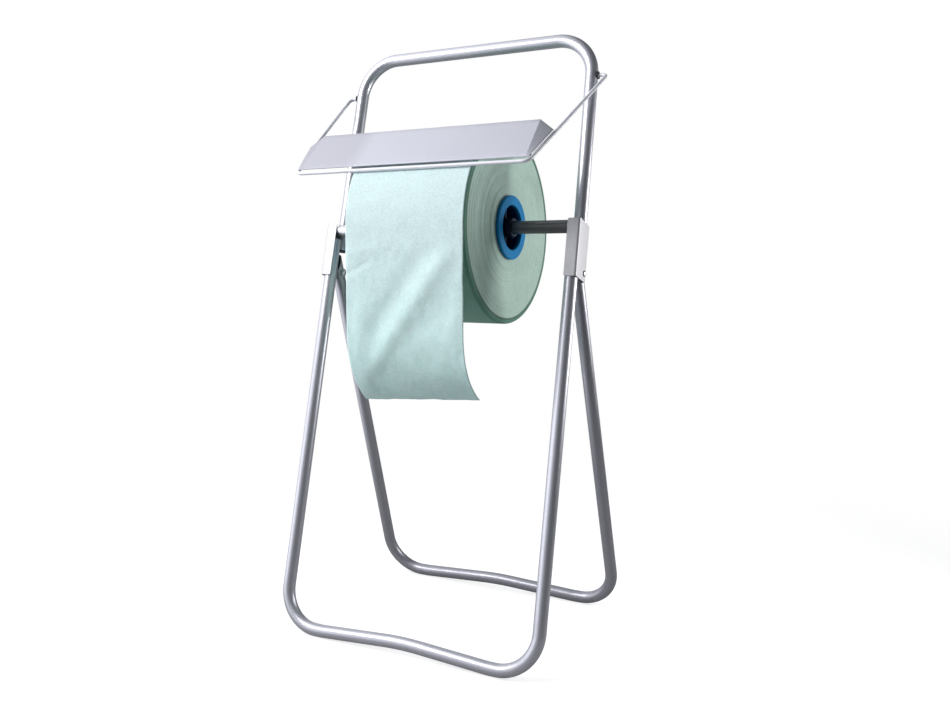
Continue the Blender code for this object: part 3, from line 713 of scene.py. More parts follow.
def leaning_plane(lean, foot_y):
    """Matrix of a frame's own plane: its X is across, its Y up the leg and its Z forwards."""
    up = Vector((0, sin(lean), cos(lean)))
    across = Vector((1, 0, 0))
    matrix = Matrix.Identity(4)
    for column, axis in enumerate((across, up, across.cross(up))):
        matrix.col[column][:3] = axis
    matrix.translation = (0, foot_y, TUBE_RADIUS)
    return matrix


FRONT = leaning_plane(FRONT_LEAN, -FOOT_REACH)
_, PIVOT_UP, handle_depth = FRONT.inverted() @ PIVOT
HANDLE_BACK = -handle_depth
HANDLE = FRONT @ Matrix.Translation((0, 0, -HANDLE_BACK))
REAR_LEAN = atan2(PIVOT.y - FOOT_REACH, PIVOT.z - TUBE_RADIUS)
REAR_LEG_TO_PIVOT = hypot(PIVOT.y - FOOT_REACH, PIVOT.z - TUBE_RADIUS)
REAR = leaning_plane(REAR_LEAN, FOOT_REACH)


def handle_half_width(up):
    taper = (LEG_HALF_WIDTH - HANDLE_TOP_HALF_WIDTH) / (HANDLE_TOP_UP - BRACKET_FOOT_UP)
    return LEG_HALF_WIDTH - taper * (up - BRACKET_FOOT_UP)


def front_half_width(up):
    taper = (FRONT_FOOT_HALF_WIDTH - LEG_HALF_WIDTH) / BRACKET_FOOT_UP
    return FRONT_FOOT_HALF_WIDTH - taper * up


def wide_u(foot_half_width, leg_top):
    """Centre line of a U whose base bar stands on two short flats and rises between them."""
    knee = foot_half_width - BASE_BEND_RADIUS - BASE_FLAT
    right = [((knee, 0, 0), BASE_KNEE_RADIUS), ((foot_half_width, 0, 0), BASE_BEND_RADIUS)]
    right.append((leg_top, 0))
    left = [((-x, y, z), radius) for (x, y, z), radius in reversed(right)]
    return rounded_path(left + [((0, BASE_RISE, 0), BASE_CROWN_RADIUS)] + right)


def show_frame(label, path, plane, material, body, reach=None):
    """A frame's bent tube, whose path is given in its own plane."""
    mesh = sweep([plane @ point for point in path], TUBE_RADIUS, TUBE_SIDES, plane.col[2].xyz,
                 TUBE_WALL, reach=reach)
    show(f"{label}_painted", mesh, material, body, "silver_paint", f"{label}_tube")


def make_front_frame():
    top = (front_half_width(FRONT_LEG_UP), FRONT_LEG_UP, 0)
    show_frame("front_frame", wide_u(FRONT_FOOT_HALF_WIDTH, top), FRONT, SILVER, "root")


def make_rear_frame():
    """The rear U, whose leg ends are cut parallel to the front legs that they meet."""
    end = REAR_LEG_TO_PIVOT + REAR_END_ABOVE_PIVOT
    taper = (REAR_FOOT_HALF_WIDTH - LEG_HALF_WIDTH) / REAR_LEG_TO_PIVOT
    top = (REAR_FOOT_HALF_WIDTH - taper * end, end, 0)
    path = wide_u(REAR_FOOT_HALF_WIDTH, top)
    forward = FRONT.col[2].xyz
    limit = FRONT @ Vector((0, 0, -REAR_CUT_BACK))

    def back_to_cut(place, tangent):
        """The way back along the leg to the cut, for a point that lies past it."""
        past = (place - limit).dot(forward)
        slope = tangent.dot(forward)
        back = -past / slope
        return min(0.0, back) if slope > 0 else max(0.0, back)

    show_frame("rear_frame", path, REAR, REAR_SILVER_SHADED, "rear_frame", back_to_cut)


def make_handle_frame():
    foot = (handle_half_width(HANDLE_FOOT_UP), HANDLE_FOOT_UP, 0)
    top = (HANDLE_TOP_HALF_WIDTH, HANDLE_TOP_UP, 0)
    corners = [((-foot[0], foot[1], 0), 0), ((-top[0], top[1], 0), HANDLE_BEND_RADIUS)]
    corners += [(top, HANDLE_BEND_RADIUS), (foot, 0)]
    show_frame("handle_frame", rounded_path(corners), HANDLE, SILVER, "root")


# ---------------------------------------------------------------- brackets and fasteners


def make_brackets():
    """Folded L sections with eased corners, the web in front and the flange outside."""
    corners = [((-BRACKET_WEB_INNER, BRACKET_FRONT, 0), 0)]
    corners += [((BRACKET_FLANGE_OFFSET, BRACKET_FRONT, 0), BRACKET_BEND_RADIUS)]
    corners += [((BRACKET_FLANGE_OFFSET, -BRACKET_DEPTH_BACK, 0), 0)]
    bent = rounded_path(corners, 0.0005)
    outline = corner_spaced(bent, BRACKET_CORNER_RADIUS)
    shape = bmesh.new()
    columns = []
    steps = 8
    for place, inset in outline:
        slope = BRACKET_EDGE_DROP * (BRACKET_FRONT - place.y) / BRACKET_DEPTH_BACK
        low, high = inset - slope, BRACKET_HEIGHT - inset - slope
        columns.append([shape.verts.new((place.x, low + (high - low) * i / steps, place.y))
                        for i in range(steps + 1)])
    fill_grid(shape, columns)
    thicken(shape, SHEET_METAL)
    place = FRONT @ Matrix.Translation((LEG_HALF_WIDTH, BRACKET_FOOT_UP, 0))
    place = place @ Matrix.Rotation(BRACKET_TILT, 4, "Z")
    mesh = mesh_of(shape, place)
    for piece in show_pair("bracket_{}_folded", mesh, BRACKET, "root", "bracket_paint", "bracket_{}"):
        soften(piece, 0.00028)


def corner_spaced(path, radius):
    """(point, inset) along a path whose two ends are rounded off by this corner radius."""
    lengths = [0.0]
    for one, two in zip(path, path[1:]):
        lengths.append(lengths[-1] + (two - one).length)
    total = lengths[-1]
    quarter = [radius * (1 - cos(pi / 2 * i / 6)) for i in range(7)]
    stations = quarter + [x for x in lengths[1:-1] if radius < x < total - radius]
    stations += [total - x for x in reversed(quarter)]
    made = []
    for at in sorted(set(stations)):
        i = max(j for j in range(len(lengths) - 1) if lengths[j] <= at)
        share = (at - lengths[i]) / (lengths[i + 1] - lengths[i])
        point = path[i].lerp(path[i + 1], min(1.0, share))
        end = min(at, total - at, radius)
        made.append((point, radius - (radius ** 2 - (radius - end) ** 2) ** 0.5))
    return made


def thicken(shape, thickness):
    """Turns an open sheet, whose normals point out, into a solid that grows outwards."""
    shape.normal_update()
    moved = {vert: shape.verts.new(vert.co + vert.normal * thickness)
             for vert in list(shape.verts)}
    for face in list(shape.faces):
        shape.faces.new([moved[vert] for vert in face.verts])
    for edge in [edge for edge in shape.edges if edge.is_boundary and edge.verts[0] in moved]:
        one, two = edge.verts
        shape.faces.new((one, two, moved[two], moved[one]))


def make_rivets():
    outer = BRACKET_FLANGE_OFFSET + SHEET_METAL + 2 * FIT_GAP
    inner = -(FACET_CORNER + WASHER_THICKNESS + 3 * FIT_GAP)
    head = [(r, outer + h) for r, h in dome(RIVET_HEAD_RADIUS, RIVET_HEAD_HEIGHT)]
    tail = [(r, inner - h * 0.8) for r, h in reversed(dome(RIVET_HEAD_RADIUS, RIVET_HEAD_HEIGHT))]
    profile = head + [(RIVET_RADIUS, outer), (RIVET_RADIUS, inner)] + tail
    place = along_x(LEG_HALF_WIDTH, PIVOT)
    rivet = turned(profile, place, 40)
    far = -(FACET_CORNER + FIT_GAP)
    bore = RIVET_RADIUS + FIT_GAP
    ring = [(WASHER_RADIUS, far, 0.0002), (WASHER_RADIUS, far - WASHER_THICKNESS, 0.0002),
            (bore, far - WASHER_THICKNESS, 0.0002), (bore, far, 0.0002)]
    washer = lathed(ring, place, 48)
    show_pair("pivot_rivet_{}_plated", rivet, ZINC, "root", "zinc", "pivot_rivet_{}")
    show_pair("pivot_washer_{}_plated", washer, ZINC, "root", "zinc", "pivot_washer_{}")


# ---------------------------------------------------------------- plugs and bushes


def end_matrix(plane, x, up, x_tilt=0.0):
    """Local Z runs up the leg of a frame's plane from this point."""
    place = plane @ Matrix.Translation((x, up, 0)) @ Matrix.Rotation(x_tilt, 4, "Z")
    return place @ Matrix.Rotation(-pi / 2, 4, "X")


def make_saddle_plugs():
    """Plugs in the tops of the front legs, hollowed to carry the axle."""
    tilt = atan2(FRONT_FOOT_HALF_WIDTH - LEG_HALF_WIDTH, BRACKET_FOOT_UP)
    outline = [(0, SADDLE_HEAD_HEIGHT, 0), (TUBE_RADIUS, SADDLE_HEAD_HEIGHT, 0.0009),
               (TUBE_RADIUS, FIT_GAP, 0.0002), (PLUG_SHANK_RADIUS, FIT_GAP, 0),
               (PLUG_SHANK_RADIUS, -PLUG_SHANK_LENGTH, 0.0006), (0, -PLUG_SHANK_LENGTH, 0)]
    place = end_matrix(FRONT, front_half_width(FRONT_LEG_UP), FRONT_LEG_UP, tilt)
    plug = turned(eased(outline), place, 56)
    seat = AXLE_RADIUS + FIT_GAP
    bar = turned([(0, 0.02), (seat, 0.02), (seat, -0.02), (0, -0.02)],
                 along_x(LEG_HALF_WIDTH, AXLE), 96)
    plug = cut(plug, bar)
    show_pair("saddle_plug_{}_moulded", plug, BLACK, "root", "black_plastic",
              "front_leg_saddle_plug_{}")


def make_handle_plugs():
    tilt = atan2(LEG_HALF_WIDTH - HANDLE_TOP_HALF_WIDTH, HANDLE_TOP_UP - BRACKET_FOOT_UP)
    rim = TUBE_RADIUS - FIT_GAP
    seat = -FIT_GAP
    head = [(r, seat - 0.001 - h) for r, h in reversed(dome(rim, PLUG_HEAD_HEIGHT - 0.001))]
    profile = [(0, PLUG_SHANK_LENGTH), (PLUG_SHANK_RADIUS, PLUG_SHANK_LENGTH),
               (PLUG_SHANK_RADIUS, seat), (rim, seat)] + head
    plug = turned(profile, end_matrix(HANDLE, handle_half_width(HANDLE_FOOT_UP), HANDLE_FOOT_UP,
                                      tilt), 56)
    show_pair("handle_plug_{}_moulded", plug, BLACK, "root", "black_plastic", "handle_end_plug_{}")


def make_rear_plugs():
    """Plugs in the rear legs' ends, cut to the legs' slant."""
    tilt = atan2(REAR_FOOT_HALF_WIDTH - LEG_HALF_WIDTH, REAR_LEG_TO_PIVOT)
    end = REAR_LEG_TO_PIVOT + REAR_END_ABOVE_PIVOT
    x = LEG_HALF_WIDTH - tan(tilt) * REAR_END_ABOVE_PIVOT
    depth = REAR_END_ABOVE_PIVOT - RIVET_RADIUS - 0.005
    rim = TUBE_RADIUS - FIT_GAP
    outline = [(0, 0.002, 0), (rim, 0.002, 0.0008), (rim, FIT_GAP, 0),
               (PLUG_SHANK_RADIUS, FIT_GAP, 0), (PLUG_SHANK_RADIUS, -depth, 0.0005), (0, -depth, 0)]
    plug = turned(eased(outline), end_matrix(REAR, x, end, tilt), 56)
    shape = bmesh.new()
    shape.from_mesh(plug)
    limit = FRONT @ Vector((0, 0, -REAR_CUT_BACK))
    geometry = [*shape.verts, *shape.edges, *shape.faces]
    made = bmesh.ops.bisect_plane(shape, geom=geometry, plane_co=limit,
                                  plane_no=FRONT.col[2].xyz, clear_outer=True)
    rim_edges = [e for e in made["geom_cut"] if isinstance(e, bmesh.types.BMEdge)]
    bmesh.ops.holes_fill(shape, edges=rim_edges)
    plug = mesh_of(shape)
    show_pair("rear_plug_{}_moulded", plug, BLACK, "rear_frame", "black_plastic",
              "rear_leg_end_plug_{}")


def make_bushes():
    wall = handle_half_width(WIRE_PIVOT_UP) + FACET_CORNER
    top = FIT_GAP + BUSH_COLLAR_THICKNESS
    bore = WIRE_RADIUS + FIT_GAP
    foot = -0.0045
    outline = [(BUSH_COLLAR_RADIUS, top, 0.0007), (BUSH_COLLAR_RADIUS, FIT_GAP, 0.0002),
               (BUSH_SLEEVE_RADIUS, FIT_GAP, 0), (BUSH_SLEEVE_RADIUS, foot, 0.0003),
               (bore, foot, 0.0002), (bore, top, 0.0003)]
    place = along_x(wall, WIRE_PIVOT)
    bush = lathed(outline, place, 48)
    show_pair("tear_bar_bush_{}_moulded", bush, BLACK, "root", "black_plastic", "tear_bar_bush_{}")


# ---------------------------------------------------------------- axle, hubs and core


def make_axle():
    bore = AXLE_RADIUS - TUBE_WALL
    half = AXLE_HALF_LENGTH
    outline = [(AXLE_RADIUS, half, 0.0003), (AXLE_RADIUS, -half, 0.0003), (bore, -half, 0.0002),
               (bore, half, 0.0002)]
    axle = lathed(outline, along_x(0, AXLE), 72)
    show("axle_drawn_tube", axle, STEEL, "axle", "bare_steel", "axle_tube")
    shank = bore - FIT_GAP
    nose = [(r, FIT_GAP + 0.001 + h) for r, h in dome(AXLE_RADIUS, AXLE_CAP_LENGTH - 0.001, 14)]
    profile = nose + [(AXLE_RADIUS, FIT_GAP), (shank, FIT_GAP), (shank, -0.0135),
                      (shank - 0.0005, -0.014), (0, -0.014)]
    cap = turned(profile, along_x(half, AXLE), 72)
    show_pair("axle_cap_{}_plated", cap, ZINC, "axle", "zinc", "axle_end_cap_{}")


def make_core():
    half = ROLL_HALF_WIDTH - FIT_GAP
    outline = [(CORE_OUTER_RADIUS, half, 0.0004), (CORE_OUTER_RADIUS, -half, 0.0004),
               (CORE_INNER_RADIUS, -half, 0.0004), (CORE_INNER_RADIUS, half, 0.0004)]
    core = lathed(outline, along_x(ROLL_MIDDLE, AXLE), 96)
    show("core_wound_board", core, BOARD, "roll", "cardboard", "roll_core")


def make_hubs():
    """Flanged sleeves with webs, like wheel spokes, to the boss that turns on the axle."""
    flange_in, flange_out = FIT_GAP, FIT_GAP + HUB_FLANGE_THICKNESS
    sleeve = CORE_INNER_RADIUS - FIT_GAP
    bore = sleeve - HUB_SLEEVE_WALL
    outline = [(HUB_FLANGE_RADIUS, flange_out, 0.0016), (HUB_FLANGE_RADIUS, flange_in, 0.0004),
               (sleeve, flange_in, 0), (sleeve, -HUB_SLEEVE_LENGTH, 0.0006),
               (bore, -HUB_SLEEVE_LENGTH, 0.0006), (bore, flange_out, 0.0016)]
    hub = lathed(outline, Matrix.Identity(4), 112)
    boss_bore = AXLE_RADIUS + 0.0005
    boss_out = flange_out + HUB_BOSS_PROUD
    ring = [(HUB_BOSS_RADIUS, boss_out, 0.0008), (HUB_BOSS_RADIUS, -HUB_SLEEVE_LENGTH, 0.0005),
            (boss_bore, -HUB_SLEEVE_LENGTH, 0.0004), (boss_bore, boss_out, 0.0006)]
    boss = lathed(ring, Matrix.Identity(4), 80)
    inner, outer = (HUB_BOSS_RADIUS + boss_bore) / 2, bore + HUB_SLEEVE_WALL / 2
    for i in range(HUB_RIB_COUNT):
        hub = cut(hub, rib_mesh(2 * pi * i / HUB_RIB_COUNT, inner, outer), "UNION")
    hub = cut(hub, boss, "UNION")
    right = hub.copy()
    right.transform(along_x(ROLL_RIGHT, AXLE))
    left = hub.copy()
    left.transform(along_x(-ROLL_LEFT, AXLE))
    for side, made in (("right", right), ("left", mirrored(left))):
        show(f"roll_hub_{side}_moulded", made, BLUE, "roll", "blue_plastic", f"roll_hub_{side}")


def rib_mesh(angle, inner, outer):
    """One web of a hub, thicker at its roots than in its middle."""
    low = -HUB_SLEEVE_LENGTH + 0.004
    high = -HUB_RIB_RECESS
    shape = bmesh.new()
    loops = []
    for i in range(9):
        share = i / 8
        radius = inner + (outer - inner) * share
        root = max(0.0, 1 - 5 * min(share, 1 - share))
        half = HUB_RIB_THICKNESS / 2 + 0.0007 * root ** 2
        loops.append([shape.verts.new((radius, y, z)) for y, z in
                      ((-half, low), (half, low), (half, high), (-half, high))])
    for one, two in zip(loops, loops[1:]):
        join_rings(shape, one, two)
    shape.faces.new(loops[0])
    shape.faces.new(loops[-1])
    return mesh_of(shape, Matrix.Rotation(angle, 4, "Z"))


# ---------------------------------------------------------------- cloth


def make_roll():
    """Wound cloth: its faces carry the edges of the layers, and its outer edges are rounded."""
    half = ROLL_HALF_WIDTH
    bore = CORE_OUTER_RADIUS + FIT_GAP
    random = np.random.default_rng(11)
    count = int((ROLL_RADIUS - ROLL_EDGE_RADIUS - bore) / WIND_PITCH)
    slips = np.cumsum(random.normal(0, 0.00012, count))
    slips -= np.linspace(slips[0], slips[-1], count)
    slips = np.clip(slips + random.normal(0, 0.00010, count), -0.0007, 0.0007)
    faces = []
    for slip_sign in (1, -1):
        face = []
        for k in range(count):
            radius = bore + (ROLL_RADIUS - ROLL_EDGE_RADIUS - bore) * k / count
            depth = half - 0.0008 + slips[k] * slip_sign * min(1, 6 * k / count)
            face += [(radius, depth - 0.0002), (radius + WIND_PITCH * 0.3, depth),
                     (radius + WIND_PITCH * 0.75, depth)]
        faces.append(face)
    steps = 8
    edge = [(ROLL_RADIUS - ROLL_EDGE_RADIUS + ROLL_EDGE_RADIUS * sin(pi / 2 * i / steps),
             half - ROLL_EDGE_RADIUS + ROLL_EDGE_RADIUS * cos(pi / 2 * i / steps) - 0.0004)
            for i in range(steps + 1)]
    right = faces[0] + edge
    left = [(radius, -height) for radius, height in reversed(faces[1] + edge)]
    belt = [(ROLL_RADIUS, half * (1 - 2 * i / 24) * 0.94) for i in range(25)]
    mesh = turned(right + belt + left, Matrix.Identity(4), ROLL_SEGMENTS, True)
    uneven(mesh)
    add_roll_uv(mesh)
    mesh.transform(along_x(ROLL_MIDDLE, AXLE))
    show("cloth_roll_wound", mesh, ROLLED, "roll", "cloth", "cloth_roll", sharp=radians(80))


def uneven(mesh):
    """Gives the roll the slight dips and waves of a hand-handled winding."""
    for vert in mesh.vertices:
        x, y, z = vert.co
        radius = hypot(x, y)
        share = (radius - CORE_OUTER_RADIUS) / (ROLL_RADIUS - CORE_OUTER_RADIUS)
        wave = noise.noise(Vector((x * 9, y * 9, z * 4 + 3)))
        fine = noise.noise(Vector((x * 40, y * 40, z * 20 + 7)))
        side = 1 if z > 0 else -1
        if abs(z) > 0.1:
            vert.co.z += side * (0.0004 * wave + 0.00015 * fine) * min(1, 4 * max(0, share))
        dip = 0.0003 * wave + 0.0001 * fine - 0.0004
        if share > 0.9 and dip < 0:
            vert.co.x += x / radius * dip
            vert.co.y += y / radius * dip


def add_roll_uv(mesh):
    """UV in metres: round and across on the belt, and flat on the faces."""
    layer = mesh.uv_layers.new(name="metres")
    for polygon in mesh.polygons:
        flat = abs(polygon.normal.z) > 0.5
        middle = atan2(polygon.center.y, polygon.center.x)
        for loop in polygon.loop_indices:
            place = mesh.vertices[mesh.loops[loop].vertex_index].co
            apart = remainder(atan2(place.y, place.x) - middle, 2 * pi)
            around = (middle + apart) * ROLL_RADIUS
            layer.data[loop].uv = (place.x, place.y) if flat else (around, place.z)


def curl_at(share):
    """How far the hem has turned back at this share of the width, from left to right."""
    return CLOTH_CURL_LEFT + (CLOTH_CURL_RIGHT - CLOTH_CURL_LEFT) * share


def fold(across, down, start, end, width, height):
    """Height at a point of one soft straight fold between two points of the cloth."""
    run = (end[0] - start[0], end[1] - start[1])
    length = hypot(*run)
    along = ((across - start[0]) * run[0] + (down - start[1]) * run[1]) / length ** 2
    aside = ((across - start[0]) * run[1] - (down - start[1]) * run[0]) / length
    past = max(0.0, -along, along - 1) * length
    return height * np.exp(-(aside / width) ** 2 - (past / (1.6 * width)) ** 2)


# Each fold of the cloth: its two ends as (across, down), its width and its height
FOLDS = (
    ((0.176, 0.066), (0.055, 0.220), 0.0165, 0.0040),
    ((0.132, 0.062), (0.062, 0.156), 0.0180, -0.0026),
    ((0.215, 0.090), (0.200, 0.175), 0.0150, 0.0012),
    ((0.140, 0.165), (0.190, 0.130), 0.0200, -0.0016),
    ((0.010, 0.045), (0.060, 0.035), 0.0100, 0.0012),
    ((0.006, 0.075), (0.040, 0.060), 0.0060, -0.0011),
    ((0.090, 0.215), (0.160, 0.240), 0.0200, 0.0016),
    ((0.030, 0.150), (0.020, 0.260), 0.0180, 0.0018),
)


def cloth_relief(across, down):
    """How far the hanging cloth stands out from its plain curve."""
    total = sum(fold(across, down, *each) for each in FOLDS)
    total += 0.0011 * noise.noise(Vector((across * 22, down * 16, 4.2)))
    total += 0.00035 * noise.noise(Vector((across * 90, down * 70, 9.1)))
    free = min(1.0, max(0.0, (down + 0.004) / 0.05))
    return total * free * free * (3 - 2 * free)


def hem(share):
    """Extra length of the torn hem, tooth by tooth."""
    tooth = 0.0007 * noise.noise(Vector((share * 160, 0, 1.7)))
    wave = 0.0016 * noise.noise(Vector((share * 9, 0, 5.1)))
    return tooth + wave + CLOTH_HEM_SKEW * share


def make_loose_cloth():
    """The free end: it leaves the roll under the tear bar, hangs, and curls back at the hem."""
    wrap_length = CLOTH_WRAP_RADIUS * CLOTH_WRAP
    length = wrap_length + CLOTH_STRAIGHT + CLOTH_CURL_LENGTH
    left = ROLL_LEFT + CLOTH_INSET
    width = ROLL_RIGHT - CLOTH_INSET - left
    columns = round(width / CLOTH_STEP)
    rows = round(length / CLOTH_STEP)
    shape = bmesh.new()
    uv = shape.loops.layers.uv.new("metres")
    where = {}
    grid = []
    for i in range(columns + 1):
        share = i / columns
        grid.append(cloth_column(shape, where, left, width, share, length, wrap_length, rows))
    for one, two in zip(grid, grid[1:]):
        for j in range(rows):
            face = shape.faces.new((one[j], one[j + 1], two[j + 1], two[j]))
            for loop in face.loops:
                loop[uv].uv = where[loop.vert]
    mesh = mesh_of(shape)
    piece = show("loose_cloth_sheet", mesh, CLOTH, "root", "cloth", "loose_cloth")
    body = piece.modifiers.new("sheet", "SOLIDIFY")
    body.thickness = CLOTH_SHEET
    body.offset = 0


def cloth_column(shape, where, left, width, share, length, wrap_length, rows):
    """One lengthwise row of vertices, stepped down the cloth's own slope."""
    step = (length + hem(share)) / rows
    angle = CLOTH_WRAP
    y = AXLE.y - CLOTH_WRAP_RADIUS * cos(angle)
    z = AXLE.z + CLOTH_WRAP_RADIUS * sin(angle)
    made = []
    for j in range(rows + 1):
        down = j * step - wrap_length
        slope = cloth_slope(down, share)
        across = width * share
        out = cloth_relief(across, down)
        close = min(1.0, j * step / 0.05)
        out -= (1 - close) * (CLOTH_OFF_ROLL - CLOTH_SHEET)
        vert = shape.verts.new((left + across, y - out * cos(slope), z - out * sin(slope)))
        where[vert] = (across, down)
        made.append(vert)
        middle = cloth_slope(down + step / 2, share)
        y += sin(middle) * step
        z -= cos(middle) * step
    return made


def cloth_slope(down, share):
    """Angle from straight down of the cloth's run, at this distance below the roll's front."""
    if down < 0:
        return down / CLOTH_WRAP_RADIUS
    if down < CLOTH_STRAIGHT:
        return 0.0
    along = min(1.0, (down - CLOTH_STRAIGHT) / CLOTH_CURL_LENGTH)
    return curl_at(share) * (along + 0.12 * sin(pi * along) * (along - 0.5))


# ---------------------------------------------------------------- tear bar


def make_wire():
    corner = Vector((WIRE_FRONT_HALF_WIDTH, AXLE.y - WIRE_REACH * cos(WIRE_FRONT_ANGLE),
                     AXLE.z + WIRE_REACH * sin(WIRE_FRONT_ANGLE)))
    end = Vector((WIRE_END_X, WIRE_PIVOT.y, WIRE_PIVOT.z))
    stub = Vector((WIRE_STUB_X, WIRE_PIVOT.y, WIRE_PIVOT.z))
    right = [(end, 0), (stub, 0.009), (WIRE_BEND, 0.10), (corner, 0.014)]
    left = [(FLIP_X @ place, radius) for place, radius in reversed(right)]
    path = rounded_path(right + left, 0.0012)
    mesh = sweep(path, WIRE_RADIUS, 28, (0, 0, 1), edge=0.0006)
    show("tear_bar_wire_painted", mesh, WIRE, "tear_bar", "silver_paint", "tear_bar_wire")


def make_plate():
    """Folded plate: a slanting front and a cheek at each end, with rounded fold lines."""
    corners = [(CHEEK_REAR, CHEEK_LOW), (PLATE_TOP, PLATE_LOW)]
    corners += [(Vector((0, PLATE_TOP.y, PLATE_TOP.z)), Vector((0, PLATE_LOW.y, PLATE_LOW.z)))]
    top = rounded_path([(corners[0][0], 0), (corners[1][0], 0.0024), (corners[2][0], 0)], 0.0004)
    low = rounded_path([(corners[0][1], 0), (corners[1][1], 0.0010), (corners[2][1], 0)], 0.0002)
    half = list(zip(evenly(top, FOLD_STEPS), evenly(low, FOLD_STEPS)))
    rest = [(FLIP_X @ a, FLIP_X @ b) for a, b in reversed(half[:-1])]
    shape = bmesh.new()
    steps = 10
    columns = [[shape.verts.new(a.lerp(b, i / steps)) for i in range(steps + 1)]
               for a, b in half + rest]
    fill_grid(shape, columns)
    piece = show("tear_plate_folded", mesh_of(shape), PLATE, "tear_bar", "plate_paint",
                 "tear_plate")
    sheet = piece.modifiers.new("sheet", "SOLIDIFY")
    sheet.thickness = PLATE_THICKNESS
    sheet.offset = 0
    sheet.use_even_offset = True
    soften(piece, 0.00025)


CHEEK_STEPS = 6
FOLD_STEPS = 12
FRONT_STEPS = 14


def evenly(path, arc_count):
    """The path with set numbers of points on its two straight runs and round its one bend."""
    bend_points = path[1:-1]
    picked = [bend_points[round(i * (len(bend_points) - 1) / arc_count)]
              for i in range(arc_count + 1)]
    start, end = path[0], path[-1]
    lead = [start.lerp(picked[0], i / CHEEK_STEPS) for i in range(CHEEK_STEPS)]
    tail = [picked[-1].lerp(end, (i + 1) / FRONT_STEPS) for i in range(FRONT_STEPS)]
    return lead + picked + tail


# ---------------------------------------------------------------- floor, light and camera


FLOOR_GREY = 0.38
FLOOR_LIFT = 0.74
FLOOR_RADIUS = 6
FLOOR_SOLID_TO = 0.55
FLOOR_CLEAR_FROM = 1.5


def make_floor():
    """Pale floor that thins out into the surroundings and is lifted to white for the camera."""
    shape = bmesh.new()
    bmesh.ops.create_circle(shape, cap_ends=True, segments=96, radius=FLOOR_RADIUS)
    mesh = mesh_of(shape)
    floor = placed("floor", mesh)
    pale = Finish("pale_floor", (FLOOR_GREY, FLOOR_GREY, FLOOR_GREY), 0.85)
    pale.shader.inputs["Emission Color"].default_value = (1, 1, 1, 1)
    seen = pale.node("LightPath").outputs["Is Camera Ray"]
    lift = pale.times(seen, FLOOR_LIFT)
    pale.tree.links.new(lift, pale.shader.inputs["Emission Strength"])
    mottle = pale.noise(6, 3)
    pale.tint(pale.span(mottle, 0.35, 0.65, 0, 0.3), (0.36, 0.36, 0.363))
    away = pale.vector("LENGTH", {0: pale.place}, 1)
    share = pale.span(away, FLOOR_SOLID_TO, FLOOR_CLEAR_FROM)
    clear = pale.node("BsdfTransparent").outputs[0]
    solid = pale.shader.outputs[0]
    mixed = pale.node("MixShader", {0: share, 1: solid, 2: clear}).outputs[0]
    output = next(n for n in pale.tree.nodes if n.type == "OUTPUT_MATERIAL")
    pale.tree.links.new(mixed, output.inputs["Surface"])
    floor.data.materials.append(pale.material)


GLOWS = (
    ((-0.66, -0.58, 0.48), 0.97, 0.35, 0.70, (0.97, 0.98, 1.04)),
    ((-0.84, -0.50, -0.20), 0.97, 0.72, 1.60, (0.97, 0.98, 1.03)),
    ((-0.51, 0.15, 0.85), 0.98, 0.84, 0.60, (0.97, 0.98, 1.04)),
    ((0.37, 0.93, 0.02), 0.985, 0.90, 0.16, (1.00, 0.985, 0.95)),
    ((-0.70, 0.70, 0.10), 0.95, 0.60, 0.60, (0.98, 0.99, 1.02)),
)
ROOM_GREY = (0.078, 0.090, 0.094)


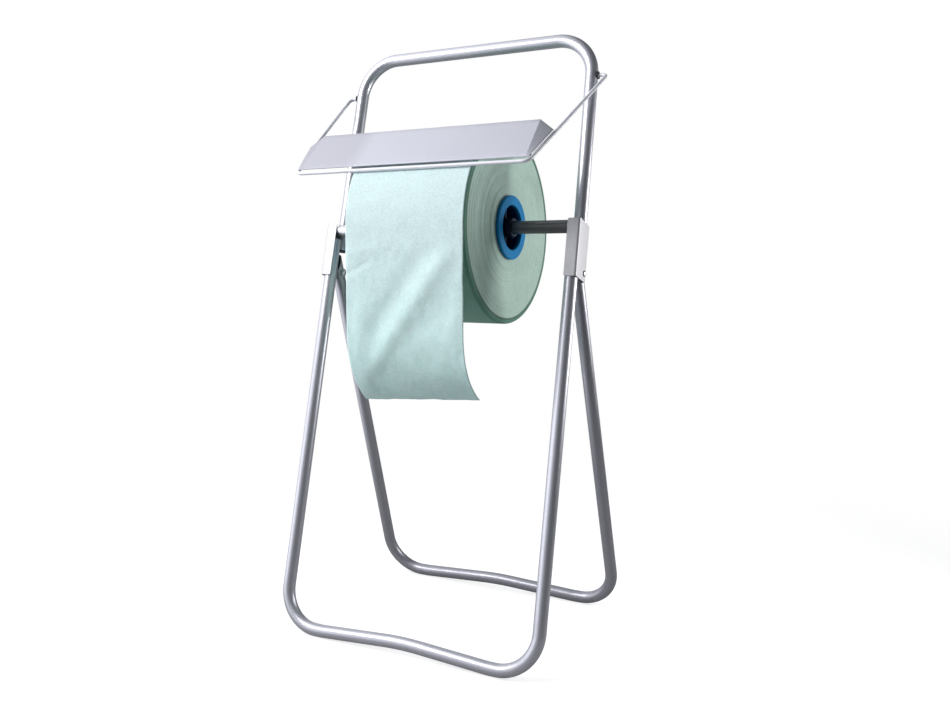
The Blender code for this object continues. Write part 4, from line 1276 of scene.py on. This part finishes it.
def make_world():
    """White surroundings for the eye; for light and reflections, a dim room with soft glows.

    Each glow has a direction, the cosines where it is full and where it ends, a strength and a tint.
    """
    world = bpy.data.worlds.new("studio")
    bpy.context.scene.world = world
    world.use_nodes = True
    graph = Graph(world.node_tree)
    graph.tree.nodes.clear()
    where = graph.node("TexCoord").outputs["Generated"]
    total = graph.node("CombineXYZ", dict(enumerate(ROOM_GREY))).outputs[0]
    for direction, full, end, strength, tint in GLOWS:
        aim = tuple(Vector(direction).normalized())
        facing = graph.vector("DOT_PRODUCT", {0: where, 1: aim}, 1)
        share = graph.span(facing, end, full, 0, strength, "SMOOTHSTEP")
        glow = graph.vector("SCALE", {0: tint, "Scale": share})
        total = graph.vector("ADD", {0: total, 1: glow})
    room = graph.node("Background", {"Color": total}).outputs[0]
    white = graph.node("Background", {"Color": (1, 1, 1, 1)}).outputs[0]
    seen = graph.node("LightPath").outputs["Is Camera Ray"]
    either = graph.node("MixShader", {0: seen, 1: room, 2: white}).outputs[0]
    graph.node("OutputWorld", {"Surface": either})


def softbox(name, place, aim, width, height, power):
    light = bpy.data.lights.new(name, "AREA")
    light.shape = "RECTANGLE"
    light.size = width
    light.size_y = height
    light.energy = power
    lamp = placed(name, light)
    lamp.location = place
    lamp.rotation_mode = "QUATERNION"
    lamp.rotation_quaternion = (Vector(aim) - Vector(place)).to_track_quat("-Z", "Y")


def make_lights():
    softbox("key_left", (-1.15, -1.40, 1.85), (0, -0.1, 0.72), 0.8, 0.8, 33)
    softbox("over_left", (-0.9, -0.2, 2.2), (0, 0, 0.8), 1.2, 1.2, 3)
    softbox("right_back", (1.0, 0.55, 0.70), (0.15, 0, 0.72), 0.5, 0.6, 8.5)


CAMERA_PLACE = Vector((0.7999, -1.4501, 0.6485))
CAMERA_YAW = 0.4808
CAMERA_PITCH = 0.0981
CAMERA_LENS = 35.1


def make_camera():
    data = bpy.data.cameras.new("camera")
    data.sensor_width = 36
    data.lens = CAMERA_LENS
    camera = placed("camera", data)
    camera.location = CAMERA_PLACE
    ahead = Vector((-sin(CAMERA_YAW) * cos(CAMERA_PITCH), cos(CAMERA_YAW) * cos(CAMERA_PITCH),
                    -sin(CAMERA_PITCH)))
    camera.rotation_mode = "QUATERNION"
    camera.rotation_quaternion = ahead.to_track_quat("-Z", "Y")
    bpy.context.scene.camera = camera


def main():
    for make in (make_camera, make_front_frame, make_rear_frame, make_handle_frame, make_brackets,
                 make_rivets, make_saddle_plugs, make_handle_plugs, make_rear_plugs, make_bushes,
                 make_axle, make_core, make_hubs, make_roll, make_loose_cloth, make_wire,
                 make_plate, make_floor, make_world, make_lights):
        make()
    bpy.context.scene.view_settings.view_transform = "Standard"


main()
